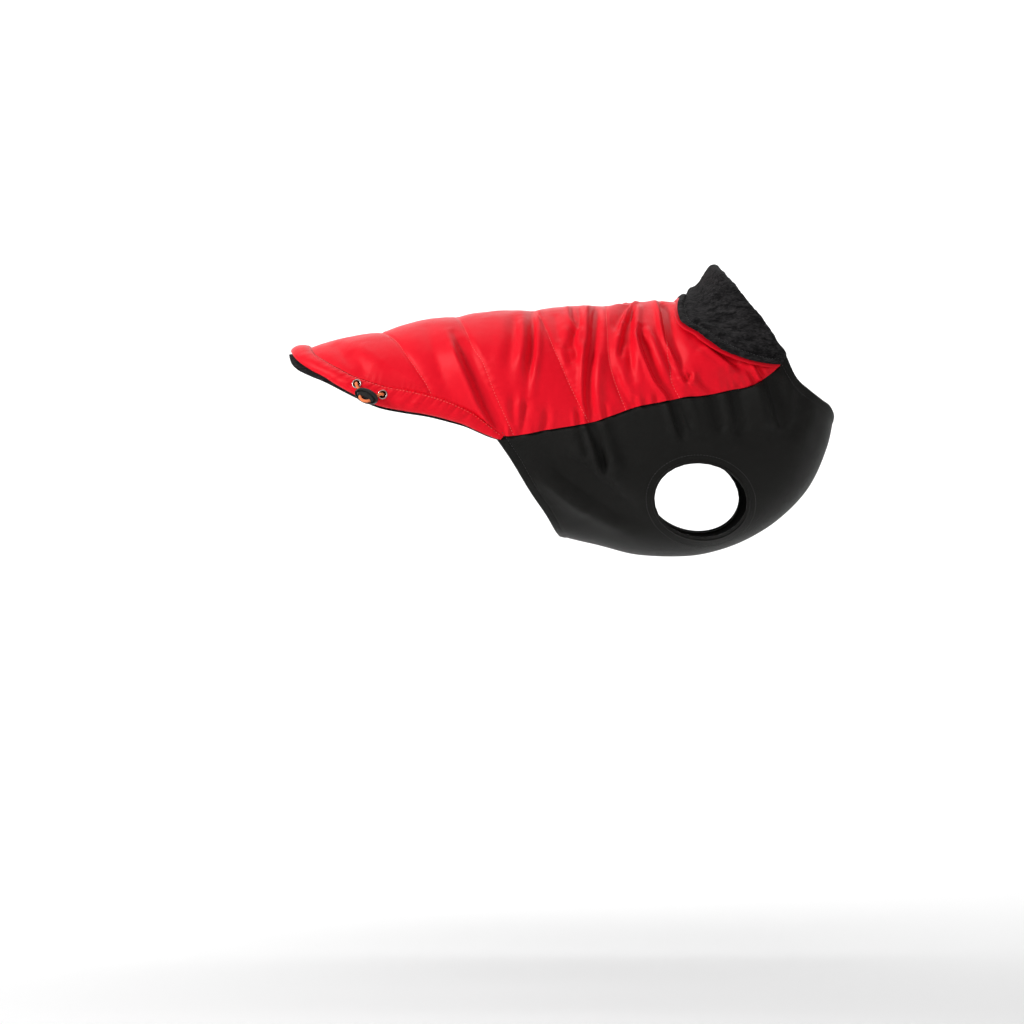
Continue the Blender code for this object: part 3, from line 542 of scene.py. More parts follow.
def beside(points, normals, line, reach):
    """For the points near a line: their numbers, distance, length along it, and offset to its side."""
    close = np.nonzero(((points > line.min(0) - reach) & (points < line.max(0) + reach)).all(-1))[0]
    start, step = line[:-1], np.diff(line, axis=0)
    gap = points[close][:, None] - start
    share = np.clip((gap * step).sum(-1) / (step**2).sum(-1), 0, 1)
    gap = gap - share[..., None] * step
    away = np.linalg.norm(gap, axis=-1)
    best = away.argmin(axis=1)
    each = np.arange(len(close))
    lengths = lengths_of(line)
    length = lengths[best] + share[each, best] * (lengths[best + 1] - lengths[best])
    turned = np.cross(step[best], normals[close])
    turned /= np.linalg.norm(turned, axis=-1, keepdims=True)
    return close, away[each, best], length, (turned * gap[each, best]).sum(-1)


def laid_folds(table, side):
    return [(line_on_form(route(*places), side, 2.5)[0], side, *rest) for places, *rest in table]


def fold_relief(points, normals, folds):
    """Height that folds add: troughs with a crest along each side, higher on the steep one."""
    height = np.zeros(len(points))
    for line, side, depth, half_width, lean, sharp in folds:
        close, away, length, signed = beside(points, normals, line, 5 * half_width)
        total = lengths_of(line)[-1]
        ends = np.clip(np.minimum(length, total - length) / (0.22 * total), 0, 1)
        beyond = np.exp(-((np.maximum(away - np.abs(signed), 0) / half_width) ** 2))
        fade = (0.2 + 0.8 * ends * ends * (3 - 2 * ends)) * beyond
        steep = lean * np.tanh(signed * side)  # above zero on the steep side
        width = half_width * (1 - 0.55 * steep)
        # The cloth can't crease sharper than about a millimetre.
        rounded = (np.sqrt(away**2 + 1.2) - 1.095) / width
        trough = 0.66 * np.exp(-rounded**sharp) + 0.34 * np.exp(-((rounded / 0.45) ** 1.5))
        crest = 0.42 + np.where(steep > 0, 0.40, 0.22) * steep
        shoulder = crest * np.exp(-(((away - 2.0 * width) / (1.15 * width)) ** 2))
        height[close] -= depth * fade * (trough - shoulder)
    return height


GROOVE_HALF_WIDTH = 1.5


def sewn_relief(points, normals, seams, far):
    """Height that sewn lines add, a groove and gathers across it that die away, and the distance to them."""
    height, nearest = np.zeros(len(points)), np.full(len(points), far)
    for rows, groove, pucker, spacing, reach in seams:
        for side in (1, -1):
            line, _ = line_on_form(rows, side)
            close, away, length, _ = beside(points, normals, line, far)
            nearest[close] = np.minimum(nearest[close], away)
            phase = 2 * math.pi * length / spacing
            phase += 1.9 * np.sin(length / 13 + side) + 1.2 * np.sin(length / 5.3)
            strength = 0.55 + 0.45 * np.sin(length / 23 + 2 * side)
            gathers = pucker * strength * np.cos(phase) * np.exp(-away / reach) * (1 - np.exp(-away / 1.2))
            height[close] += gathers - groove * np.exp(-((away / GROOVE_HALF_WIDTH) ** 2))
    return height, nearest


def rolled_edge(height, away, width, low):
    """The cloth's edge turns down into its seam with a round shoulder."""
    share = np.clip(away / width, 0, 1)
    return low + (height - low) * np.sqrt(share * (2 - share))


def crowded(share):
    """Shares from 0 to 1 that stand closer together towards both ends."""
    return share * 0.8 + 0.2 * (0.5 - 0.5 * np.cos(math.pi * share))


BACK_FOLDS = laid_folds(FOLDS, 1) + laid_folds(far_side_folds(), -1)
FOLD_GAIN = 1.45
BACK_CALM = 0.8  # along the back the cloth lies flatter
# Sewn lines: the groove's depth, the gathers' height and spacing, and how far from the line they reach.
BACK_BORDERS = (
    (HEM_STITCH, 0.4, 0.70, 5.2, 6.5), (SIDE_SEAM, 0.2, 1.3, 9.5, 7.0), (NECK_SEAM, 0.4, 0.4, 9.0, 6.0),
)
QUILTING = tuple((rows, 1.0, 0.36, 6.5, 5.0) for rows in QUILT_LINES)


def shell_height(points, normals):
    """How far the red cloth's face stands off the form."""
    at_border, border = sewn_relief(points, normals, BACK_BORDERS, 40.0)
    at_quilting, quilted = sewn_relief(points, normals, QUILTING, 40.0)
    nearest = np.minimum(border, quilted)
    height = SHELL_FACE + SHELL_LOFT * (1 - np.exp(-((nearest / SHELL_REACH) ** 1.2)))
    calm = 1 - BACK_CALM * np.exp(-((points[:, 1] / 21) ** 2))
    height += at_border + at_quilting + FOLD_GAIN * calm * fold_relief(points, normals, BACK_FOLDS)
    # The collar pushes the cloth up before it.
    height += BUNCH_HEIGHT * np.exp(-(((points[:, 0] - 13) / 12) ** 2) - (points[:, 1] / 36) ** 2)
    free = 1 - np.exp(-nearest / 8)
    height += free * 0.30 * waves(points, 7, (16, 44), 36, (1, 1, 3.0))
    height += free * 0.10 * waves(points, 8, (5, 11), 36, (1, 1, 2.4))
    low = SHELL_LOW + 1.2 * np.exp(-((border / 4.5) ** 2))
    height = low + 0.6 * np.logaddexp(0, (height - low) / 0.6)
    # The ditch along the border is shallow beside the hem, and most so at the tail.
    hem_share = np.clip((points[:, 0] + 132) / -14, 0, 1)
    tail_share = np.clip((points[:, 0] + 235) / -45, 0, 1)
    return rolled_edge(height, border, 1.7, SEAM_LOW + 0.2 + 0.4 * hem_share + 1.8 * tail_share)


BACK_PANEL = Panel(HEM_STITCH, NECK_SEAM, BACK_LINE, SIDE_SEAM)


def back_place(along, across):
    across = (2 * crowded(across) - 1) * 0.9994
    points, normals = BACK_PANEL.surface(0.0004 + 0.9990 * crowded(along), across)
    return points + normals * shell_height(points, normals)[:, None]


def fine_weave():
    """Plain weave of fine threads, from two crossed sets of waves on the cloth's own UV map."""
    group, entry, leave = effect("fine_weave", [("Vector", None), ("Threads", 2600.0)], ["Height"])
    sets = []
    for way, y in (("X", 150), ("Y", -150)):
        bands = node(
            group, "ShaderNodeTexWave", (-500, y), wave_type="BANDS", bands_direction=way, Distortion=0.25
        )
        join(group, (entry, "Vector", bands, "Vector"), (entry, "Threads", bands, "Scale"))
        sets.append(bands)
    crossed = node(group, "ShaderNodeMath", (-200, 0), operation="ADD")
    halved = node(group, "ShaderNodeMath", (50, 0), operation="MULTIPLY")
    halved.inputs[1].default_value = 0.5
    join(
        group, (sets[0], "Fac", crossed, 0), (sets[1], "Fac", crossed, 1), (crossed, "Value", halved, 0),
        (halved, "Value", leave, "Height"),
    )
    return group


WEAVE = fine_weave()
RED_DEEP, RED_FACE = (0.72, 0.0030, 0.014), (0.85, 0.0085, 0.023)


def red_material():
    made, tree, shader = new_material(
        "red_polyester", 0.40, Specular_IOR_Level=0.28, Specular_Tint=(1.0, 0.30, 0.30, 1)
    )
    threads = node(tree, "ShaderNodeTexCoord", (-1200, 0))
    mottle = use(tree, MOTTLE, (-900, 200), Broad=16.0, Fine=220.0)
    weave = use(tree, WEAVE, (-900, -100))
    crumple = node(
        tree, "ShaderNodeTexNoise", (-900, -350), Scale=95.0, Detail=4.0, Roughness=0.55, Distortion=0.7
    )
    colour = colour_mix(tree, (-500, 200), RED_DEEP, RED_FACE)
    gloss = node(tree, "ShaderNodeMapRange", (-500, -50), To_Min=0.34, To_Max=0.48)
    soft = bump(tree, (-500, -350), 0.09, 0.0010)
    fine = bump(tree, (-250, -300), 0.22, 0.00012)
    join(
        tree, (threads, "Object", mottle, "Vector"), (threads, "Object", crumple, "Vector"),
        (threads, "UV", weave, "Vector"), (mottle, "Value", colour, "Factor"),
        (mottle, "Value", gloss, "Value"), (crumple, "Fac", soft, "Height"),
        (weave, "Height", fine, "Height"), (soft, "Normal", fine, "Normal"),
        (colour, "Result", shader, "Base Color"), (gloss, "Result", shader, "Roughness"),
        (fine, "Normal", shader, "Normal"),
    )
    return made


RED = red_material()
back_panel = woven("red_back_panel", (330, 236), back_place)
face_outwards(back_panel, TRUNK_MIDDLE)
back_panel.data.materials.append(RED)
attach(back_panel, "root")
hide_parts("back_shell")

# ============================================================ drawcord hem
# The red cloth's edge, folded double over the fleece and stitched down as a soft round tunnel.
# The cord draws it in, so it is gathered behind its stitching, most round the tail.

HEM_EDGE = route(
    (-361, BACK), (-357, -51), (-350, -57), (-338, -64), (-324, -70.5), (-310, -78.5), (-291, -88),
    (-270, -97), (-245, -102), (-222, -105.5), (-199, -111), (-184, -115.5), (-170, -121.8),
    (-155, -128), (-147, -130.5),
)
HEM_INSIDE, HEM_THICKNESS, HEM_EDGE_THICKNESS = 3.0, 6.4, 1.2
HEM_HALF_LENGTH = 265.0


def hem_height(round_hem, share):
    end = np.clip((1 - np.abs(round_hem)) / 0.22, 0, 1)
    swell = np.clip(4 * share * (1 - share), 0, 1) ** 0.55
    roll = (HEM_THICKNESS - HEM_EDGE_THICKNESS) * swell * (0.35 + 0.65 * end)
    return HEM_INSIDE + HEM_EDGE_THICKNESS + roll


def hem_surface(round_hem, share):
    """Points and normals of the form on the hem: -1 to 1 round the tail, 0 to 1 from stitching to edge."""
    side = np.abs(round_hem)
    inner, outer = read_route(HEM_STITCH, side), read_route(HEM_EDGE, side)
    spots = inner + (outer - inner) * np.asarray(share)[..., None]
    return face_at(spots[..., 0], spots[..., 1], np.where(round_hem < 0, -1.0, 1.0))


def hem_points(round_hem, share, height):
    points, normals = hem_surface(round_hem, share)
    return points + normals * np.asarray(height)[..., None]


def hem_place(round_share, across):
    """Round the hem, and from under the stitching over the roll to its under side."""
    round_hem = (2 * round_share - 1) * 0.9995
    over = np.clip(across / 0.82, 0, 1)
    share = -0.015 + 1.015 * (0.5 - 0.5 * np.cos(math.pi * over)) ** 0.9
    under = np.clip((across - 0.82) / 0.18, 0, 1)
    share = share - 0.22 * under
    height = np.where(under > 0, HEM_INSIDE + HEM_EDGE_THICKNESS * (1 - under), hem_height(round_hem, share))
    length = round_hem * HEM_HALF_LENGTH
    gathers = 1.5 * np.cos(length * 1.55 + 1.6 * np.sin(length / 11)) * np.exp(-share / 0.16)
    gathers += np.cos(length / 1.35 + 2.1 * np.sin(length / 17)) * np.exp(-share / 0.5)
    middle = np.exp(-(((share - 0.5) / 0.4) ** 2))
    gathers += 1.1 * np.cos(length / 3.1 + 1.4 * np.sin(length / 9 + 1)) * middle
    drawn = 0.35 + 0.65 * np.clip((np.abs(length) - 60) / 60, 0, 1)
    height = height + np.where(under > 0, 0, 0.36 * drawn * gathers)
    return hem_points(round_hem, share, height)


def hem_frame(round_hem, share, raised):
    """A place on the hem as a matrix: x forward along the hem, y up to its stitching, z outwards."""
    at = np.array(round_hem), np.array(share)
    step = 0.01
    base = hem_points(*at, hem_height(*at))
    ahead = hem_points(at[0] + step, at[1], hem_height(at[0] + step, at[1])) - base
    edgeward = hem_points(at[0], at[1] + step, hem_height(*at)) - base
    x_axis = Vector(ahead).normalized()
    z_axis = x_axis.cross(Vector(edgeward)).normalized()
    if z_axis.y > 0:
        z_axis.negate()
    turn = Matrix((x_axis, z_axis.cross(x_axis), z_axis)).transposed().to_4x4()
    return Matrix.Translation((Vector(base) + raised * z_axis) * MM) @ turn


EYELETS = {"eyelet_rear": (0.410, 0.44), "eyelet_front": (0.515, 0.46)}
EYELET_RADIUS, EYELET_HOLE_RADIUS, EYELET_HEIGHT = 4.8, 3.4, 1.0


def cut_away(piece, work, operation="DIFFERENCE"):
    """Cuts a closed bmesh out of a piece, or joins it on."""
    tool = new_piece("tool", work)
    cut = piece.modifiers.new("cut", "BOOLEAN")
    cut.operation = operation
    cut.object = tool
    apply_modifiers(piece)
    bpy.data.objects.remove(tool)


hem = woven("red_drawcord_hem", (520, 44), hem_place)
face_outwards(hem, TRUNK_MIDDLE)
thicken(hem, 0.5 * MM)
for place in EYELETS.values():
    punch = bmesh.new()
    bmesh.ops.create_cone(
        punch, cap_ends=True, segments=32, radius1=EYELET_HOLE_RADIUS * MM, radius2=EYELET_HOLE_RADIUS * MM,
        depth=0.006, matrix=hem_frame(*place, 0),
    )
    cut_away(hem, punch)
hem.data.shade_smooth()
hem.data.materials.clear()
hem.data.materials.append(RED)
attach(hem, "root")
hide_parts("hem_channel")

# Lockstitch in red thread a shade lighter than the cloth: down the quilting and along the hem's tunnel.
STITCH, STITCH_GAP, THREAD, FINE_THREAD = 2.2, 1.0, 0.72, 0.5


def stitches(name, lines, thread, finish):
    """Stitches as small rounded bars along lines of (points, normals) in millimetres."""
    work = bmesh.new()
    for points, normals in lines:
        lengths = lengths_of(points)
        count = int(lengths[-1] / (STITCH + STITCH_GAP))
        for k in range(count):
            middle = (k + 0.5) * lengths[-1] / count
            tail, at, head, up = (
                Vector([float(np.interp(middle + shift, lengths, rows[:, i])) for i in range(3)])
                for shift, rows in ((-STITCH / 2, points), (0, points), (STITCH / 2, points), (0, normals))
            )
            way = (head - tail).normalized()
            side = up.cross(way).normalized()
            turn = Matrix((way, side, way.cross(side))).transposed().to_4x4()
            size = Matrix.Diagonal((STITCH * MM, thread * MM, 0.8 * thread * MM, 1))
            placed = Matrix.Translation(at * MM) @ turn @ size
            bmesh.ops.create_uvsphere(work, u_segments=6, v_segments=5, radius=0.5, matrix=placed)
    piece = new_piece(name, work)
    piece.data.materials.append(finish)
    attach(piece, "root")
    return piece


def thread_material(name, dark, light, sheen):
    made, tree, shader = new_material(name, 0.55, Sheen_Weight=sheen, Sheen_Roughness=0.4)
    threads = node(tree, "ShaderNodeTexCoord", (-900, 0))
    mottle = use(tree, MOTTLE, (-600, 100), Broad=300.0, Fine=2500.0)
    colour = colour_mix(tree, (-300, 100), dark, light)
    relief = bump(tree, (-300, -150), 0.4, 0.0001)
    join(
        tree, (threads, "Object", mottle, "Vector"), (mottle, "Value", colour, "Factor"),
        (mottle, "Value", relief, "Height"), (colour, "Result", shader, "Base Color"),
        (relief, "Normal", shader, "Normal"),
    )
    return made


RED_THREAD = thread_material("red_thread", (0.85, 0.045, 0.05), (1.0, 0.13, 0.12), 0.2)
quilt_rows = [line_on_form(rows, side, 2.0) for rows in QUILT_LINES for side in (1, -1)]
ends = np.cumsum([len(points) for points, _ in quilt_rows])[:-1]
quilt_points = np.concatenate([points for points, _ in quilt_rows])
quilt_normals = np.concatenate([normals for _, normals in quilt_rows])
quilt_points = quilt_points + quilt_normals * (shell_height(quilt_points, quilt_normals) + 0.2)[:, None]
stitches(
    "quilting_stitches", list(zip(np.split(quilt_points, ends), np.split(quilt_normals, ends))),
    THREAD, RED_THREAD,
)
round_hem, stitch_share = np.linspace(-0.985, 0.985, 400), np.full(400, 0.085)
hem_line, hem_normals = hem_surface(round_hem, stitch_share)
hem_line = hem_line + hem_normals * (hem_height(round_hem, stitch_share) + 0.25)[:, None]
hem_thread = stitches("hem_stitches", [(hem_line, hem_normals)], THREAD, RED_THREAD)

# ============================================================ pressed eyelets
# Two-part brass eyelets, nickel plated, pressed through the hem's tunnel so that the cord can leave it.
# Each shows as a rolled ring with a tight inner throat.

NICKEL_DARK, NICKEL_BRIGHT = (0.32, 0.31, 0.30), (0.66, 0.64, 0.61)


def hard_material(name, roughness, sizes, colours, gloss_range, dents, **constants):
    """Plate or moulded plastic: a fine mottle shifts its colour and gloss, and dents its skin."""
    made, tree, shader = new_material(name, roughness, **constants)
    place = node(tree, "ShaderNodeTexCoord", (-1000, 0))
    mottle = use(tree, MOTTLE, (-700, 0), Broad=sizes[0], Fine=sizes[1])
    colour = colour_mix(tree, (-350, 150), *colours)
    gloss = node(tree, "ShaderNodeMapRange", (-350, -100), To_Min=gloss_range[0], To_Max=gloss_range[1])
    relief = bump(tree, (-350, -350), *dents)
    join(
        tree, (place, "Object", mottle, "Vector"), (mottle, "Value", colour, "Factor"),
        (mottle, "Value", gloss, "Value"), (mottle, "Value", relief, "Height"),
        (colour, "Result", shader, "Base Color"), (gloss, "Result", shader, "Roughness"),
        (relief, "Normal", shader, "Normal"),
    )
    return made


NICKEL = hard_material(
    "nickel_plate", 0.24, (260.0, 1800.0), (NICKEL_DARK, NICKEL_BRIGHT), (0.16, 0.36), (0.25, 0.00008),
    Metallic=1.0,
)


def turned_ring(profile, segments):
    """A ring turned from a closed profile of (radius, height) rows in millimetres."""
    work = bmesh.new()
    corners = [work.verts.new((radius * MM, 0, height * MM)) for radius, height in profile]
    edges = [work.edges.new((corners[k - 1], corners[k])) for k in range(len(corners))]
    bmesh.ops.spin(
        work, geom=corners + edges, axis=(0, 0, 1), cent=(0, 0, 0), angle=math.tau, steps=segments,
        use_merge=True,
    )
    bmesh.ops.remove_doubles(work, verts=work.verts, dist=1e-6)
    bmesh.ops.recalc_face_normals(work, faces=work.faces)
    return work


def eyelet_profile():
    """A rolled flange outside and a throat that dives into the hole."""
    middle, half = (EYELET_RADIUS + EYELET_HOLE_RADIUS) / 2, (EYELET_RADIUS - EYELET_HOLE_RADIUS) / 2
    crown = [
        (middle + half * math.cos(turn), EYELET_HEIGHT * math.sin(turn) ** 0.8)
        for turn in np.linspace(0.06, math.pi - 0.06, 12)
    ]
    throat = [(EYELET_HOLE_RADIUS - 0.05, -1.4), (EYELET_HOLE_RADIUS + 0.25, -1.4)]
    return crown + throat + [(EYELET_RADIUS - 0.4, -0.25)]


for name, place in EYELETS.items():
    ring = turned_ring(eyelet_profile(), 48)
    ring.transform(hem_frame(*place, 0.35))
    eyelet = new_piece(name + "_ring", ring)
    eyelet.data.materials.append(NICKEL)
    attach(eyelet, "root")
    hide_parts(name)

# ============================================================ cord lock
# Moulded black acetal, oval: a grooved body with a domed front plate, and a slot through its lower half.
# The cord's two strands pass through the slot from behind and join in a loop over the lower rim.

LOCK_LENGTH, LOCK_WIDTH, LOCK_THICKNESS = 24.0, 14.5, 8.6
LOCK_SLOT_LENGTH, LOCK_SLOT_WIDTH, LOCK_SLOT_DROP = 14.4, 4.3, 3.2
LOCK_STRANDS, STRAND_DROP, PLATE_DROP, LOCK_SIDES = 10.2, 2.8, 0.9, 72
LOCK_FRAME = hem_frame(0.482, 0.84, 10.4) @ Matrix.Rotation(math.radians(6), 4, "X")
PLASTIC_DARK, PLASTIC_LIGHT = (0.008, 0.008, 0.0075), (0.017, 0.0165, 0.0155)
PLASTIC = hard_material(
    "moulded_black_plastic", 0.4, (150.0, 3200.0), (PLASTIC_DARK, PLASTIC_LIGHT), (0.28, 0.42),
    (0.35, 0.00006), Specular_IOR_Level=0.4,
)


def oval_slab(length, width, low, high, rounding=0.0, shift=0.0):
    """An oval slab between two heights, with rounded rims, in millimetres."""
    work = bmesh.new()
    bmesh.ops.create_cone(work, cap_ends=True, segments=LOCK_SIDES, radius1=0.5, radius2=0.5, depth=1)
    bmesh.ops.scale(work, vec=(length * MM, width * MM, (high - low) * MM), verts=work.verts)
    bmesh.ops.translate(work, vec=(0, shift * MM, (low + high) / 2 * MM), verts=work.verts)
    if rounding:
        rims = [edge for edge in work.edges if edge.calc_face_angle() > 1]
        bmesh.ops.bevel(
            work, geom=rims, offset=rounding * MM, segments=5, profile=0.5, affect="EDGES", material=-1
        )
    return work


half, waist, step = LOCK_THICKNESS / 2, 1.1, 4.5  # two oval rims, and a waist between them
lock = new_piece("cord_lock_body", oval_slab(LOCK_LENGTH, LOCK_WIDTH, waist, half, 1.3), smooth=False)
cut_away(lock, oval_slab(LOCK_LENGTH, LOCK_WIDTH, -half, -waist, 1.3), "UNION")
cut_away(lock, oval_slab(LOCK_LENGTH - step, LOCK_WIDTH - step, 1 - half, half - 1), "UNION")
groove = turned_ring(((11.5, half - 2.3), (11.5, half + 1), (8.8, half + 1), (8.8, half - 2.3)), LOCK_SIDES)
groove.transform(Matrix.Translation((0, -PLATE_DROP * MM, 0)) @ Matrix.Diagonal((1, 0.46, 1, 1)))
cut_away(lock, groove)
cut_away(lock, oval_slab(18.2, 8.0, half - 1.6, half + 0.5, 0.7, -PLATE_DROP), "UNION")
cut_away(lock, oval_slab(LOCK_SLOT_LENGTH, LOCK_SLOT_WIDTH, -2 * half, 2 * half, 0, -LOCK_SLOT_DROP))
cut_away(lock, oval_slab(7.0, LOCK_SLOT_WIDTH + 1, 1 - half, half - 2.2, 0, -LOCK_SLOT_DROP), "UNION")
lock.data.transform(LOCK_FRAME)
lock.data.shade_smooth()
lock.data.set_sharp_from_angle(angle=math.radians(40))
lock.data.materials.clear()
lock.data.materials.append(PLASTIC)
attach(lock, "root")
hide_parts("cord_lock")

# ============================================================ elastic drawcord
# Rubber strands in a braided polyester sleeve, 2.8 mm thick. It leaves the tunnel by the rear eyelet,
# goes through the lock, loops over its lower rim, comes back through it and enters the front eyelet.

CORD_RADIUS = 1.4
# Painted shade in the braid's grooves and painted light on its ridges.
ORANGE_SHADED_GROOVE, ORANGE_LIT_RIDGE = (0.90, 0.13, 0.03), (1.0, 0.26, 0.07)


def cord_places():
    """Points of the visible cord, given one by one, in metres."""
    rear, front = (hem_frame(*place, 0) for place in EYELETS.values())
    strand, slot = LOCK_STRANDS / 2, -STRAND_DROP
    places = (
        (rear, 0, 0, -1.6), (rear, 0, 0, 0.6), (rear, 0.2, -0.2, 2.6), (rear, 2.4, -2.6, 4.2),
        (LOCK_FRAME, -strand, slot + 2.0, -half - 2.1), (LOCK_FRAME, -strand, slot, -half - 0.6),
        (LOCK_FRAME, -strand, slot, 0), (LOCK_FRAME, -strand, slot, half + 0.4),
        (LOCK_FRAME, -0.75 * strand, slot - 1.2, half + 2.0), (LOCK_FRAME, 0, slot - 2.3, half + 2.4),
        (LOCK_FRAME, 0.75 * strand, slot - 1.2, half + 2.0), (LOCK_FRAME, strand, slot, half + 0.4),
        (LOCK_FRAME, strand, slot, 0), (LOCK_FRAME, strand, slot, -half - 0.6),
        (LOCK_FRAME, strand + 0.4, slot + 1.8, -half - 2.1), (front, -2.8, -1.6, 4.2),
        (front, -0.2, -0.1, 2.6), (front, 0, 0, 0.6), (front, 0, 0, -1.6),
    )
    return np.array([frame_at @ Vector((x * MM, y * MM, z * MM)) for frame_at, x, y, z in places])


given = cord_places()
at = np.linspace(0, len(given) - 1, 800)
fine = np.stack([smooth_read(given[:, k], at) for k in range(3)], axis=-1)
lengths = lengths_of(fine)
CORD_CELLS, CORD_SIDES = 220, 18
even = np.linspace(0, lengths[-1], CORD_CELLS + 1)
cord_path = np.stack([np.interp(even, lengths, fine[:, k]) for k in range(3)], axis=-1)


def cord_material():
    """Braid: two crossed spirals of thread, from the cord's own UV map of length and way round."""
    made, tree, shader = new_material("orange_braid", 0.62, Sheen_Weight=0.25, Sheen_Roughness=0.4)
    threads = node(tree, "ShaderNodeTexCoord", (-1300, 0))
    ridges = []
    for turn, y in ((0.72, 200), (-0.72, -200)):
        spiral = node(tree, "ShaderNodeMapping", (-1050, y))
        spiral.inputs["Rotation"].default_value = (0, 0, turn)
        bands = node(
            tree, "ShaderNodeTexWave", (-800, y), wave_type="BANDS", bands_direction="X", Scale=420.0
        )
        join(tree, (threads, "UV", spiral, "Vector"), (spiral, "Vector", bands, "Vector"))
        ridges.append(bands)
    braid = node(tree, "ShaderNodeMath", (-550, 0), operation="MAXIMUM")
    # The colour follows the braid's relief: painted shade in its grooves, painted light on its ridges.
    colour = colour_mix(tree, (-300, 150), ORANGE_SHADED_GROOVE, ORANGE_LIT_RIDGE)
    relief = bump(tree, (-300, -150), 0.6, 0.00018)
    join(
        tree, (ridges[0], "Fac", braid, 0), (ridges[1], "Fac", braid, 1),
        (braid, "Value", colour, "Factor"), (braid, "Value", relief, "Height"),
        (colour, "Result", shader, "Base Color"), (relief, "Normal", shader, "Normal"),
    )
    return made


def cord_place(along, around):
    """Round the path with a frame that doesn't twist."""
    ways = np.gradient(cord_path, axis=0)
    ways /= np.linalg.norm(ways, axis=1, keepdims=True)
    sides = [np.cross(ways[0], (0, 0, 1))]
    for way in ways:
        side = sides[-1] - way * sides[-1].dot(way)
        sides.append(side / np.linalg.norm(side))
    sides = np.array(sides[1:])
    tops = np.cross(ways, sides)
    k = np.rint(along * CORD_CELLS).astype(int)
    turn = 2 * math.pi * around[:, None]
    return (cord_path[k] / MM) + CORD_RADIUS * (np.cos(turn) * sides[k] + np.sin(turn) * tops[k])


def close_seam(piece):
    """Merges a rolled-up grid's two edges and fills its ends."""
    work = bmesh.new()
    work.from_mesh(piece.data)
    bmesh.ops.remove_doubles(work, verts=work.verts, dist=1e-6)
    bmesh.ops.holes_fill(work, edges=work.edges, sides=0)
    bmesh.ops.recalc_face_normals(work, faces=work.faces)
    work.to_mesh(piece.data)
    work.free()


cord = woven("orange_drawcord", (CORD_CELLS, CORD_SIDES), cord_place)
close_seam(cord)
cord.data.materials.append(cord_material())
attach(cord, "root")
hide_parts("drawcord")

# ============================================================ black chest and belly panel
# Bonded stretch softshell with a fine knit face, in one piece from side seam to side seam.
# It has an armhole on each side, and its free edges are turned in and topstitched.

BELLY_EDGE = route((-153, -127.5), (-137, -150), (-118, -181), (-100, -207), (-91, -222), (-87, BELLY))
NECKLINE = route((138, -47), (148, -69), (161, -81), (175, -91.5), (184, -98), (188.6, BELLY))
BELLY_LINE = route((-87, BELLY), (-30, BELLY), (60, BELLY), (125, BELLY), (165, BELLY), (188.6, BELLY))
ARMHOLE_X, ARMHOLE_Z = 53.0, -191.0
ARMHOLE_LENGTH, ARMHOLE_HEIGHT, ARMHOLE_SLANT = 96.0, 77.0, math.radians(12)
CHEST_FACE, CHEST_THICKNESS = 4.9, 1.6
CHEST_FOLDS = (
    (((-59, -98), (-57, -114), (-52, -128), (-46, -146), (-41, -166)), 3.6, 4.6, 0.5, 1.35),
    (((-48, -108), (-43, -130), (-36, -146), (-26, -158)), -1.2, 7.0, 0.0, 2.0),
    (((-66, -112), (-64, -130), (-58, -150)), 1.2, 5.0, 0.0, 1.8),
    (((22, -80), (25, -96), (29, -110), (34, -128)), 3.6, 4.4, 0.4, 1.35),
    (((31, -84), (37, -104), (44, -122)), 2.0, 4.0, 0.0, 1.6),
    (((-96, -146), (-66, -166), (-36, -190), (-8, -210)), 3.4, 12.0, 0.3, 2.0),
    (((-78, -134), (-50, -154), (-22, -176)), -2.2, 12.0, 0.0, 2.0),
    (((-116, -160), (-84, -184), (-52, -206)), -1.8, 11.0, 0.0, 2.0),
    (((64, -80), (69, -100), (74, -126)), 2.4, 7.0, 0.0, 2.0),
    (((82, -74), (88, -104), (92, -130)), 2.4, 7.0, 0.0, 2.0),
    (((104, -70), (110, -96), (116, -124)), -1.8, 8.0, 0.0, 2.0),
    (((120, -66), (128, -92), (134, -122)), 3.0, 7.5, 0.2, 2.0),
    (((150, -80), (148, -104), (138, -134)), 1.3, 9.0, 0.0, 2.0),
)
CHEST_FOLDS_FAR = (
    (((-68, -102), (-66, -118), (-60, -130), (-53, -146), (-48, -162)), 3.0, 5.0, 0.4, 1.35),
    (((16, -82), (18, -96), (22, -108), (27, -128)), 3.2, 4.5, 0.4, 1.35),
    (((40, -82), (43, -104), (46, -116)), 1.8, 4.0, 0.0, 1.6),
    (((-90, -144), (-60, -162), (-32, -186), (-10, -204)), 1.9, 12.0, 0.3, 2.0),
    (((-110, -158), (-80, -182), (-50, -204)), -1.0, 11.0, 0.0, 2.0),
    (((70, -80), (75, -104), (80, -128)), 1.6, 8.0, 0.0, 2.0),
    (((116, -66), (125, -94), (130, -122)), 1.8, 8.0, 0.2, 2.0),
    (((146, -80), (146, -106), (136, -134)), 1.2, 9.0, 0.0, 2.0),
)
SEAM_ALLOWANCE = (0, 0.036)  # stations and radians: 3.4 mm tucked in under the red panel
CHEST_SEAM = np.concatenate([BELLY_EDGE[:1], SIDE_SEAM - SEAM_ALLOWANCE, NECKLINE[:1]])
CHEST_PANEL = Panel(BELLY_EDGE[::-1], NECKLINE[::-1], BELLY_LINE, CHEST_SEAM)
CHEST_SEAMS = ((SIDE_SEAM, 0.1, 0.35, 13.0, 8.0),)
CHEST_EDGES = ((BELLY_EDGE, 0, 0, 9, 1), (NECKLINE, 0, 0, 9, 1))
CHEST_CREASES = laid_folds(CHEST_FOLDS, 1) + laid_folds(CHEST_FOLDS_FAR, -1)
TURNED_EDGE = 9.0  # depth of the turned and topstitched edges
CREASE_GAIN, CHEST_LOW = 1.9, 2.6  # and the deepest that a crease goes


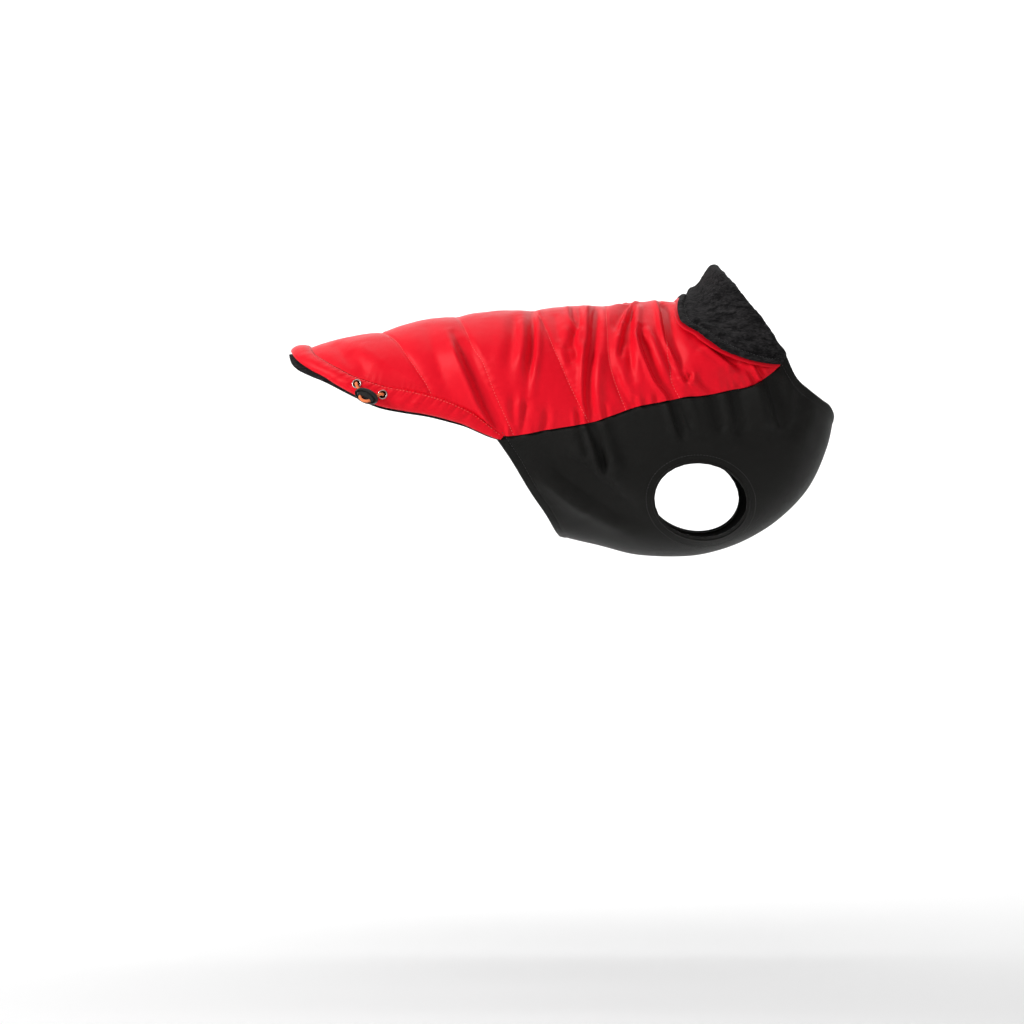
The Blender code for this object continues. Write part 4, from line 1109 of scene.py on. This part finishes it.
def chest_height(points, normals):
    at_seam, seam = sewn_relief(points, normals, CHEST_SEAMS, 30.0)
    _, edge = sewn_relief(points, normals, CHEST_EDGES, 30.0)
    height = CHEST_FACE + at_seam + CREASE_GAIN * fold_relief(points, normals, CHEST_CREASES)
    height += 0.35 * waves(points, 17, (30, 80), 30, (1, 1, 1.5)) - 0.5 * np.exp(-seam / 5)
    height += 0.6 / (1 + np.exp((edge - TURNED_EDGE) / 0.5))
    height -= 0.6 * np.exp(-(((edge - TURNED_EDGE) / 0.9) ** 2))
    height = CHEST_LOW + 0.5 * np.logaddexp(0, (height - CHEST_LOW) / 0.5)
    return rolled_edge(rolled_edge(height, seam, 1.7, SEAM_LOW), edge, 1.8, 3.2)


def chest_place(along, across):
    along, across = 0.0004 + 0.9992 * along, (2 * crowded(across) - 1) * 0.9994
    station, angle = CHEST_PANEL.spots(along, across)
    points, normals = CHEST_PANEL.surface(along, across)
    tucked = np.interp(station, SIDE_SEAM[:, 0], SIDE_SEAM[:, 1]) - angle
    allowance = SEAM_LOW - 0.9 * tucked / SEAM_ALLOWANCE[1]
    return points + normals * np.where(tucked > 0, allowance, chest_height(points, normals))[:, None]


BLACK_FACE, BLACK_FLECK = (0.0055, 0.0053, 0.0046), (0.048, 0.046, 0.044)


def softshell_material():
    made, tree, shader = new_material(
        "black_softshell", 0.5, Sheen_Weight=0.02, Sheen_Roughness=0.4, Specular_IOR_Level=0.11
    )
    threads = node(tree, "ShaderNodeTexCoord", (-1200, 0))
    weave = use(tree, WEAVE, (-900, -100), Threads=1500.0)
    mottle = use(tree, MOTTLE, (-900, 200), Broad=18.0, Fine=900.0)
    flecks = node(tree, "ShaderNodeTexNoise", (-900, -350), Scale=1500.0, Detail=2.0, Roughness=0.7)
    spots = node(tree, "ShaderNodeMapRange", (-650, -350), From_Min=0.50, From_Max=0.74)
    shade = node(tree, "ShaderNodeMath", (-500, 0), operation="MULTIPLY")
    colour = colour_mix(tree, (-250, 200), BLACK_FACE, BLACK_FLECK)
    relief = bump(tree, (-400, -250), 0.35, 0.00025)
    join(
        tree, (threads, "UV", weave, "Vector"), (threads, "Object", mottle, "Vector"),
        (threads, "UV", flecks, "Vector"), (flecks, "Fac", spots, "Value"), (spots, "Result", shade, 0),
        (mottle, "Value", shade, 1), (shade, "Value", colour, "Factor"),
        (weave, "Height", relief, "Height"), (colour, "Result", shader, "Base Color"),
        (relief, "Normal", shader, "Normal"),
    )
    return made


BLACK = softshell_material()
chest = woven("black_chest_panel", (190, 236), chest_place)
face_outwards(chest, TRUNK_MIDDLE)
thicken(chest, CHEST_THICKNESS * MM)
armholes = bmesh.new()
bmesh.ops.create_cone(armholes, cap_ends=True, segments=128, radius1=0.5, radius2=0.5, depth=1)
armholes.transform(
    Matrix.Translation((ARMHOLE_X * MM, 0, ARMHOLE_Z * MM))
    @ Matrix.Rotation(ARMHOLE_SLANT, 4, "Y")
    @ Matrix.Diagonal((ARMHOLE_LENGTH * MM, 0.3, ARMHOLE_HEIGHT * MM, 1))
    @ Matrix.Rotation(math.pi / 2, 4, "X")
)
cut_away(chest, armholes)
chest.data.shade_smooth()
chest.data.materials.clear()
chest.data.materials.append(BLACK)
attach(chest, "root")
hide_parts("chest_panel")

# Each armhole's edge is turned in round an elastic, as a narrow soft roll.
ARMHOLE_ROLL = 1.7


def armhole_ring(side, bigger=0.0, count=140):
    """Points and normals of the chest panel round an armhole, on its edge or this much outside it."""
    turn = np.linspace(0, 2 * math.pi, count, endpoint=False)
    flat_x = np.cos(turn) * (ARMHOLE_LENGTH / 2 + bigger)
    flat_z = np.sin(turn) * (ARMHOLE_HEIGHT / 2 + bigger)
    slant = math.cos(ARMHOLE_SLANT), math.sin(ARMHOLE_SLANT)
    station, angle = on_form(
        ARMHOLE_X + slant[0] * flat_x + slant[1] * flat_z, ARMHOLE_Z - slant[1] * flat_x + slant[0] * flat_z
    )
    return face_at(station, angle, side)


def roll_place(centres, normals, radius):
    """Places of a tube round a closed line of centres."""

    def place(along, around):
        ways = np.roll(centres, -1, axis=0) - np.roll(centres, 1, axis=0)
        ways /= np.linalg.norm(ways, axis=1, keepdims=True)
        sides = np.cross(ways, normals)
        sides /= np.linalg.norm(sides, axis=1, keepdims=True)
        k = np.rint(along * len(centres)).astype(int) % len(centres)
        turn = 2 * math.pi * around[:, None]
        puckered = radius * (1 + 0.10 * np.sin(k * 1.3) * np.sin(k / 7.0))[:, None]
        return centres[k] + puckered * (np.cos(turn) * sides[k] + np.sin(turn) * np.cross(sides[k], ways[k]))

    return place


chest_stitch_lines = []
for side, name in ((1, "right_armhole_edge"), (-1, "left_armhole_edge")):
    ring, ring_normals = armhole_ring(side)
    centres = ring + ring_normals * (chest_height(ring, ring_normals) - CHEST_THICKNESS / 2)[:, None]
    edge_roll = woven(name, (len(centres), 12), roll_place(centres, ring_normals, ARMHOLE_ROLL))
    close_seam(edge_roll)
    edge_roll.data.materials.append(BLACK)
    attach(edge_roll, "root")
    ring, ring_normals = armhole_ring(side, 7.0)
    chest_stitch_lines.append([np.append(rows, rows[:1], axis=0) for rows in (ring, ring_normals)])


def inset_line(rows, inward, side):
    """A line on the form this far inside a free edge of the chest panel."""
    points, normals = line_on_form(rows, side, 2.0)
    ways = np.gradient(points, axis=0)
    across = np.cross(ways, normals)
    across /= np.linalg.norm(across, axis=1, keepdims=True)
    middle = np.array([ARMHOLE_X, 0.0, -150.0])
    towards = np.sign((across * (middle - points)).sum(-1).mean())
    return points + towards * inward * across, normals


for rows in (BELLY_EDGE, NECKLINE):
    for side in (1, -1):
        chest_stitch_lines.append(inset_line(rows, TURNED_EDGE, side))
chest_stitch_lines = [
    (points + normals * (chest_height(points, normals) + 0.15)[:, None], normals)
    for points, normals in chest_stitch_lines
]
BLACK_THREAD = thread_material("black_thread", (0.012, 0.012, 0.012), (0.05, 0.05, 0.05), 0.2)
chest_thread = stitches("chest_stitches", chest_stitch_lines, FINE_THREAD, BLACK_THREAD)

# ============================================================ turned-down collar
# One piece of fleece and one of the red cloth, sewn together round the edge and turned down over the stand.
# The edge is topstitched 7 to 11 mm in, and the red side shows as a lip below the fleece.

COLLAR_RIM = route((76, BACK), (80, 28), (88, 17), (99, 1), (111, -16), (123, -34), (134, -51))
COLLAR_EDGE = route(
    (37, BACK), (33, -4), (29.5, -13), (31, -22), (38, -27.5), (48, -32.5), (60, -41), (74, -48),
    (90, -53), (108, -56.5), (130, -57.5),
)
STAND_OFFSET, FALL_OFFSET, TIP_FALL_OFFSET = 3.2, 11.2, 9.6
FLEECE_THICKNESS, COLLAR_SHELL_THICKNESS, SHELL_LIP = 2.2, 1.5, 3.2
COLLAR_CELLS = 260  # round the neck
COLLAR_PATH = (14, 16, 34)  # cells up the stand, over the roll and down the fall
COLLAR_TOPSTITCH = 7.2


def collar_path(round_neck, beyond):
    """Points midway between the collar's layers and the way its fleece faces, from neck seam to edge."""
    side = np.abs(round_neck)
    seam, rim, edge = (read_route(rows, side) for rows in (NECK_SEAM, COLLAR_RIM, COLLAR_EDGE))
    fall_offset = FALL_OFFSET + (TIP_FALL_OFFSET - FALL_OFFSET) * side**3
    radius = (fall_offset - STAND_OFFSET) / 2
    middles, ways = [], []
    for share in np.linspace(-0.03, 1, COLLAR_PATH[0] + 1)[:-1]:
        spot = seam + (rim - seam) * share
        normal = outward(spot[:, 0], spot[:, 1])
        middles.append(form(spot[:, 0], spot[:, 1]) + normal * STAND_OFFSET)
        ways.append(-normal)
    at_rim, normal = form(rim[:, 0], rim[:, 1]), outward(rim[:, 0], rim[:, 1])
    below = rim + 0.2 * (seam - rim)
    up = at_rim - form(below[:, 0], below[:, 1])
    up -= normal * (up * normal).sum(-1, keepdims=True)
    up /= np.linalg.norm(up, axis=-1, keepdims=True)
    for turn in np.linspace(0, math.pi, COLLAR_PATH[1] + 1):
        way = -normal * math.cos(turn) + up * math.sin(turn)
        middles.append(at_rim + normal * (STAND_OFFSET + radius)[:, None] + way * radius[:, None])
        ways.append(way)
    width = np.linalg.norm(form(edge[:, 0], edge[:, 1]) - at_rim, axis=-1)
    for share in np.linspace(0, 1, COLLAR_PATH[2] + 1)[1:]:
        spot = rim + (edge - rim) * (share * (1 + beyond / np.maximum(width, 12.0)))[:, None]
        normal = outward(spot[:, 0], spot[:, 1])
        stand_off = fall_offset + (0.8 + 2.8 * np.exp(-(((side - 0.55) / 0.25) ** 2))) * share**2
        middles.append(form(spot[:, 0], spot[:, 1]) + normal * stand_off[:, None])
        ways.append(normal)
    middles, ways = np.stack(middles, axis=1), np.stack(ways, axis=1)
    for rows in (middles, ways):
        rows[..., 1] *= np.where(round_neck < 0, -1.0, 1.0)[:, None]
    return middles, ways


def ready_place(table):
    """A place() for woven() that reads points already worked out, one for each crossing of the grid."""

    def place(along, across):
        k = np.rint(along * (table.shape[0] - 1)).astype(int)
        j = np.rint(across * (table.shape[1] - 1)).astype(int)
        return table[k, j]

    return place


def from_edge(middles):
    """How far each point is from the collar's edge, along the cloth."""
    steps = np.linalg.norm(np.diff(middles, axis=1), axis=-1)
    up = np.cumsum(steps[:, ::-1], axis=1)[:, ::-1]
    return np.concatenate([up, np.zeros((len(middles), 1))], axis=1)


def face_like(piece, table, ways):
    """Turns a sheet's faces the way its table says."""
    mesh = piece.data
    near = min(mesh.polygons, key=lambda p: (p.center - Vector(table[len(table) // 3, -8]) * MM).length)
    if near.normal.dot(Vector(ways[len(table) // 3, -8])) < 0:
        mesh.flip_normals()


round_neck = np.linspace(-0.997, 0.997, COLLAR_CELLS + 1)
lip = SHELL_LIP + 2.0 * np.exp(-(((np.abs(round_neck) - 0.52) / 0.2) ** 2))
lip += 0.35 * np.sin(round_neck * 61 + 1.5 * np.sin(round_neck * 23))
middles, ways = collar_path(round_neck, lip)
away = from_edge(middles)
flat = middles.reshape(-1, 3)
swell = 0.45 * np.exp(-((away / 2.5) ** 2)) + 0.25 * waves(flat, 31, (9, 22), 24).reshape(away.shape)
shell_table = middles - ways * (0.45 + 0.35 * swell)[..., None]
collar_shell = woven("red_collar_side", (COLLAR_CELLS, sum(COLLAR_PATH)), ready_place(shell_table))
face_like(collar_shell, shell_table, -ways)
thicken(collar_shell, -COLLAR_SHELL_THICKNESS * MM)
collar_shell.data.shade_smooth()
collar_shell.data.materials.append(RED)
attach(collar_shell, "root")
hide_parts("collar_shell")

middles, ways = collar_path(round_neck, 0.0)
away = from_edge(middles)
fall = away < from_edge(middles)[:, sum(COLLAR_PATH[:2])][:, None] + 6
# The topstitched band is widest in the middle of each side.
inset = COLLAR_TOPSTITCH + 4.2 * np.exp(-(((np.abs(round_neck) - 0.58) / 0.22) ** 2))
band_share = away / inset[:, None]
band = 0.9 * np.sin(math.pi * np.clip(band_share, 0, 1)) ** 0.7
valley = -1.9 * np.exp(-(((away - inset[:, None]) / 1.4) ** 2))
bulge = 2.1 * np.exp(-(((away - inset[:, None] - 6.5) / 4.5) ** 2))
bulge *= np.clip((away - inset[:, None]) / 2, 0, 1)
side_end = np.clip((1 - np.abs(round_neck)) / 0.12, 0, 1)[:, None]
relief = (band + valley + bulge) * fall * (0.35 + 0.65 * side_end)
flat = middles.reshape(-1, 3)
relief = relief + 0.45 * waves(flat, 21, (12, 30), 24).reshape(away.shape)
relief = relief + 0.28 * waves(flat, 22, (3.5, 8), 50).reshape(away.shape)
fleece_table = middles + ways * np.maximum(0.25 + FLEECE_THICKNESS + relief, 1.2)[..., None]
collar_fleece = woven("fleece_collar_side", (COLLAR_CELLS, sum(COLLAR_PATH)), ready_place(fleece_table))
face_like(collar_fleece, fleece_table, ways)
thicken(collar_fleece, (FLEECE_THICKNESS - 0.3) * MM)
collar_fleece.data.shade_smooth()
collar_fleece.data.materials.append(FLEECE)
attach(collar_fleece, "root")
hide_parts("collar_fleece")
topstitch, topstitch_ways = [], []
for k in range(4, COLLAR_CELLS - 3, 2):
    row = away[k][::-1]
    topstitch.append([np.interp(inset[k], row, fleece_table[k, ::-1, i]) for i in range(3)])
    topstitch_ways.append([np.interp(inset[k], row, ways[k, ::-1, i]) for i in range(3)])
topstitch, topstitch_ways = np.array(topstitch), np.array(topstitch_ways)
collar_thread = stitches(
    "collar_topstitch", [(topstitch + 0.15 * topstitch_ways, topstitch_ways)], FINE_THREAD, BLACK_THREAD,
)

# ============================================================ floor, light and camera
# A pale paper sweep, soft lights from the camera's side, above and behind, and the photograph's view.

FLOOR_Z = -0.64
CAMERA_TARGET, CAMERA_DISTANCE, CAMERA_ELEVATION = Vector((-0.1358, 0, -0.2076)), 3.6, math.radians(3)
FRAME_WIDTH_AT_FLANK, FLANK_Y, SENSOR = 1.024, -0.085, 36.0


def paper_sweep():
    work = bmesh.new()
    bmesh.ops.create_grid(work, x_segments=2, y_segments=60, size=0.5)
    for vert in work.verts:
        run = vert.co.y + 0.5
        y, z = -5.5 + 9.0 * min(run, 0.75) / 0.75, 0.0
        if run > 0.75:
            bend = (run - 0.75) / 0.25
            angle = min(bend / 0.5, 1) * math.pi / 2
            y = 3.5 + 1.5 * math.sin(angle)
            z = 1.5 * (1 - math.cos(angle)) + max(bend - 0.5, 0) * 14
        vert.co = Vector((vert.co.x * 24, y, FLOOR_Z + z))
    sweep = new_piece("paper_sweep", work)
    made, _, shader = new_material("pale_paper", 0.9, Specular_IOR_Level=0.1)
    shader.inputs["Base Color"].default_value = (0.86, 0.86, 0.86, 1)
    sweep.data.materials.append(made)


def soft_light(name, place, size, power, aim=CAMERA_TARGET):
    lamp = bpy.data.lights.new(name, "AREA")
    lamp.shape = "RECTANGLE"
    lamp.size, lamp.size_y = size
    lamp.energy = power
    holder = bpy.data.objects.new(name, lamp)
    holder.location = place
    holder.rotation_euler = (Vector(aim) - Vector(place)).to_track_quat("-Z", "Y").to_euler()
    bpy.context.scene.collection.objects.link(holder)


paper_sweep()
soft_light("key_light", (-2.6, -1.4, 1.3), (0.9, 0.8), 76)
soft_light("fill_light", (2.2, -2.4, 0.3), (1.8, 1.8), 16)
soft_light("top_light", (-0.2, 0.1, 2.3), (1.6, 1.0), 9)
soft_light("backdrop_light", (0.0, 1.4, 2.4), (4.0, 1.5), 185, aim=(0, 4.4, 0.2))
world = bpy.data.worlds.new("pale_room")
world.use_nodes = True
world.node_tree.nodes["Background"].inputs["Color"].default_value = (1, 1, 1, 1)
world.node_tree.nodes["Background"].inputs["Strength"].default_value = 0.34
bpy.context.scene.world = world
bpy.context.scene.view_settings.view_transform = "Standard"

camera = bpy.data.objects.new("camera", bpy.data.cameras.new("camera"))
toward = Vector((0, -math.cos(CAMERA_ELEVATION), math.sin(CAMERA_ELEVATION)))
camera.location = CAMERA_TARGET + toward * CAMERA_DISTANCE
camera.rotation_euler = (math.pi / 2 - CAMERA_ELEVATION, 0, 0)
camera.data.sensor_width = SENSOR
camera.data.lens = SENSOR * (CAMERA_DISTANCE + FLANK_Y) / FRAME_WIDTH_AT_FLANK
bpy.context.scene.collection.objects.link(camera)
bpy.context.scene.camera = camera
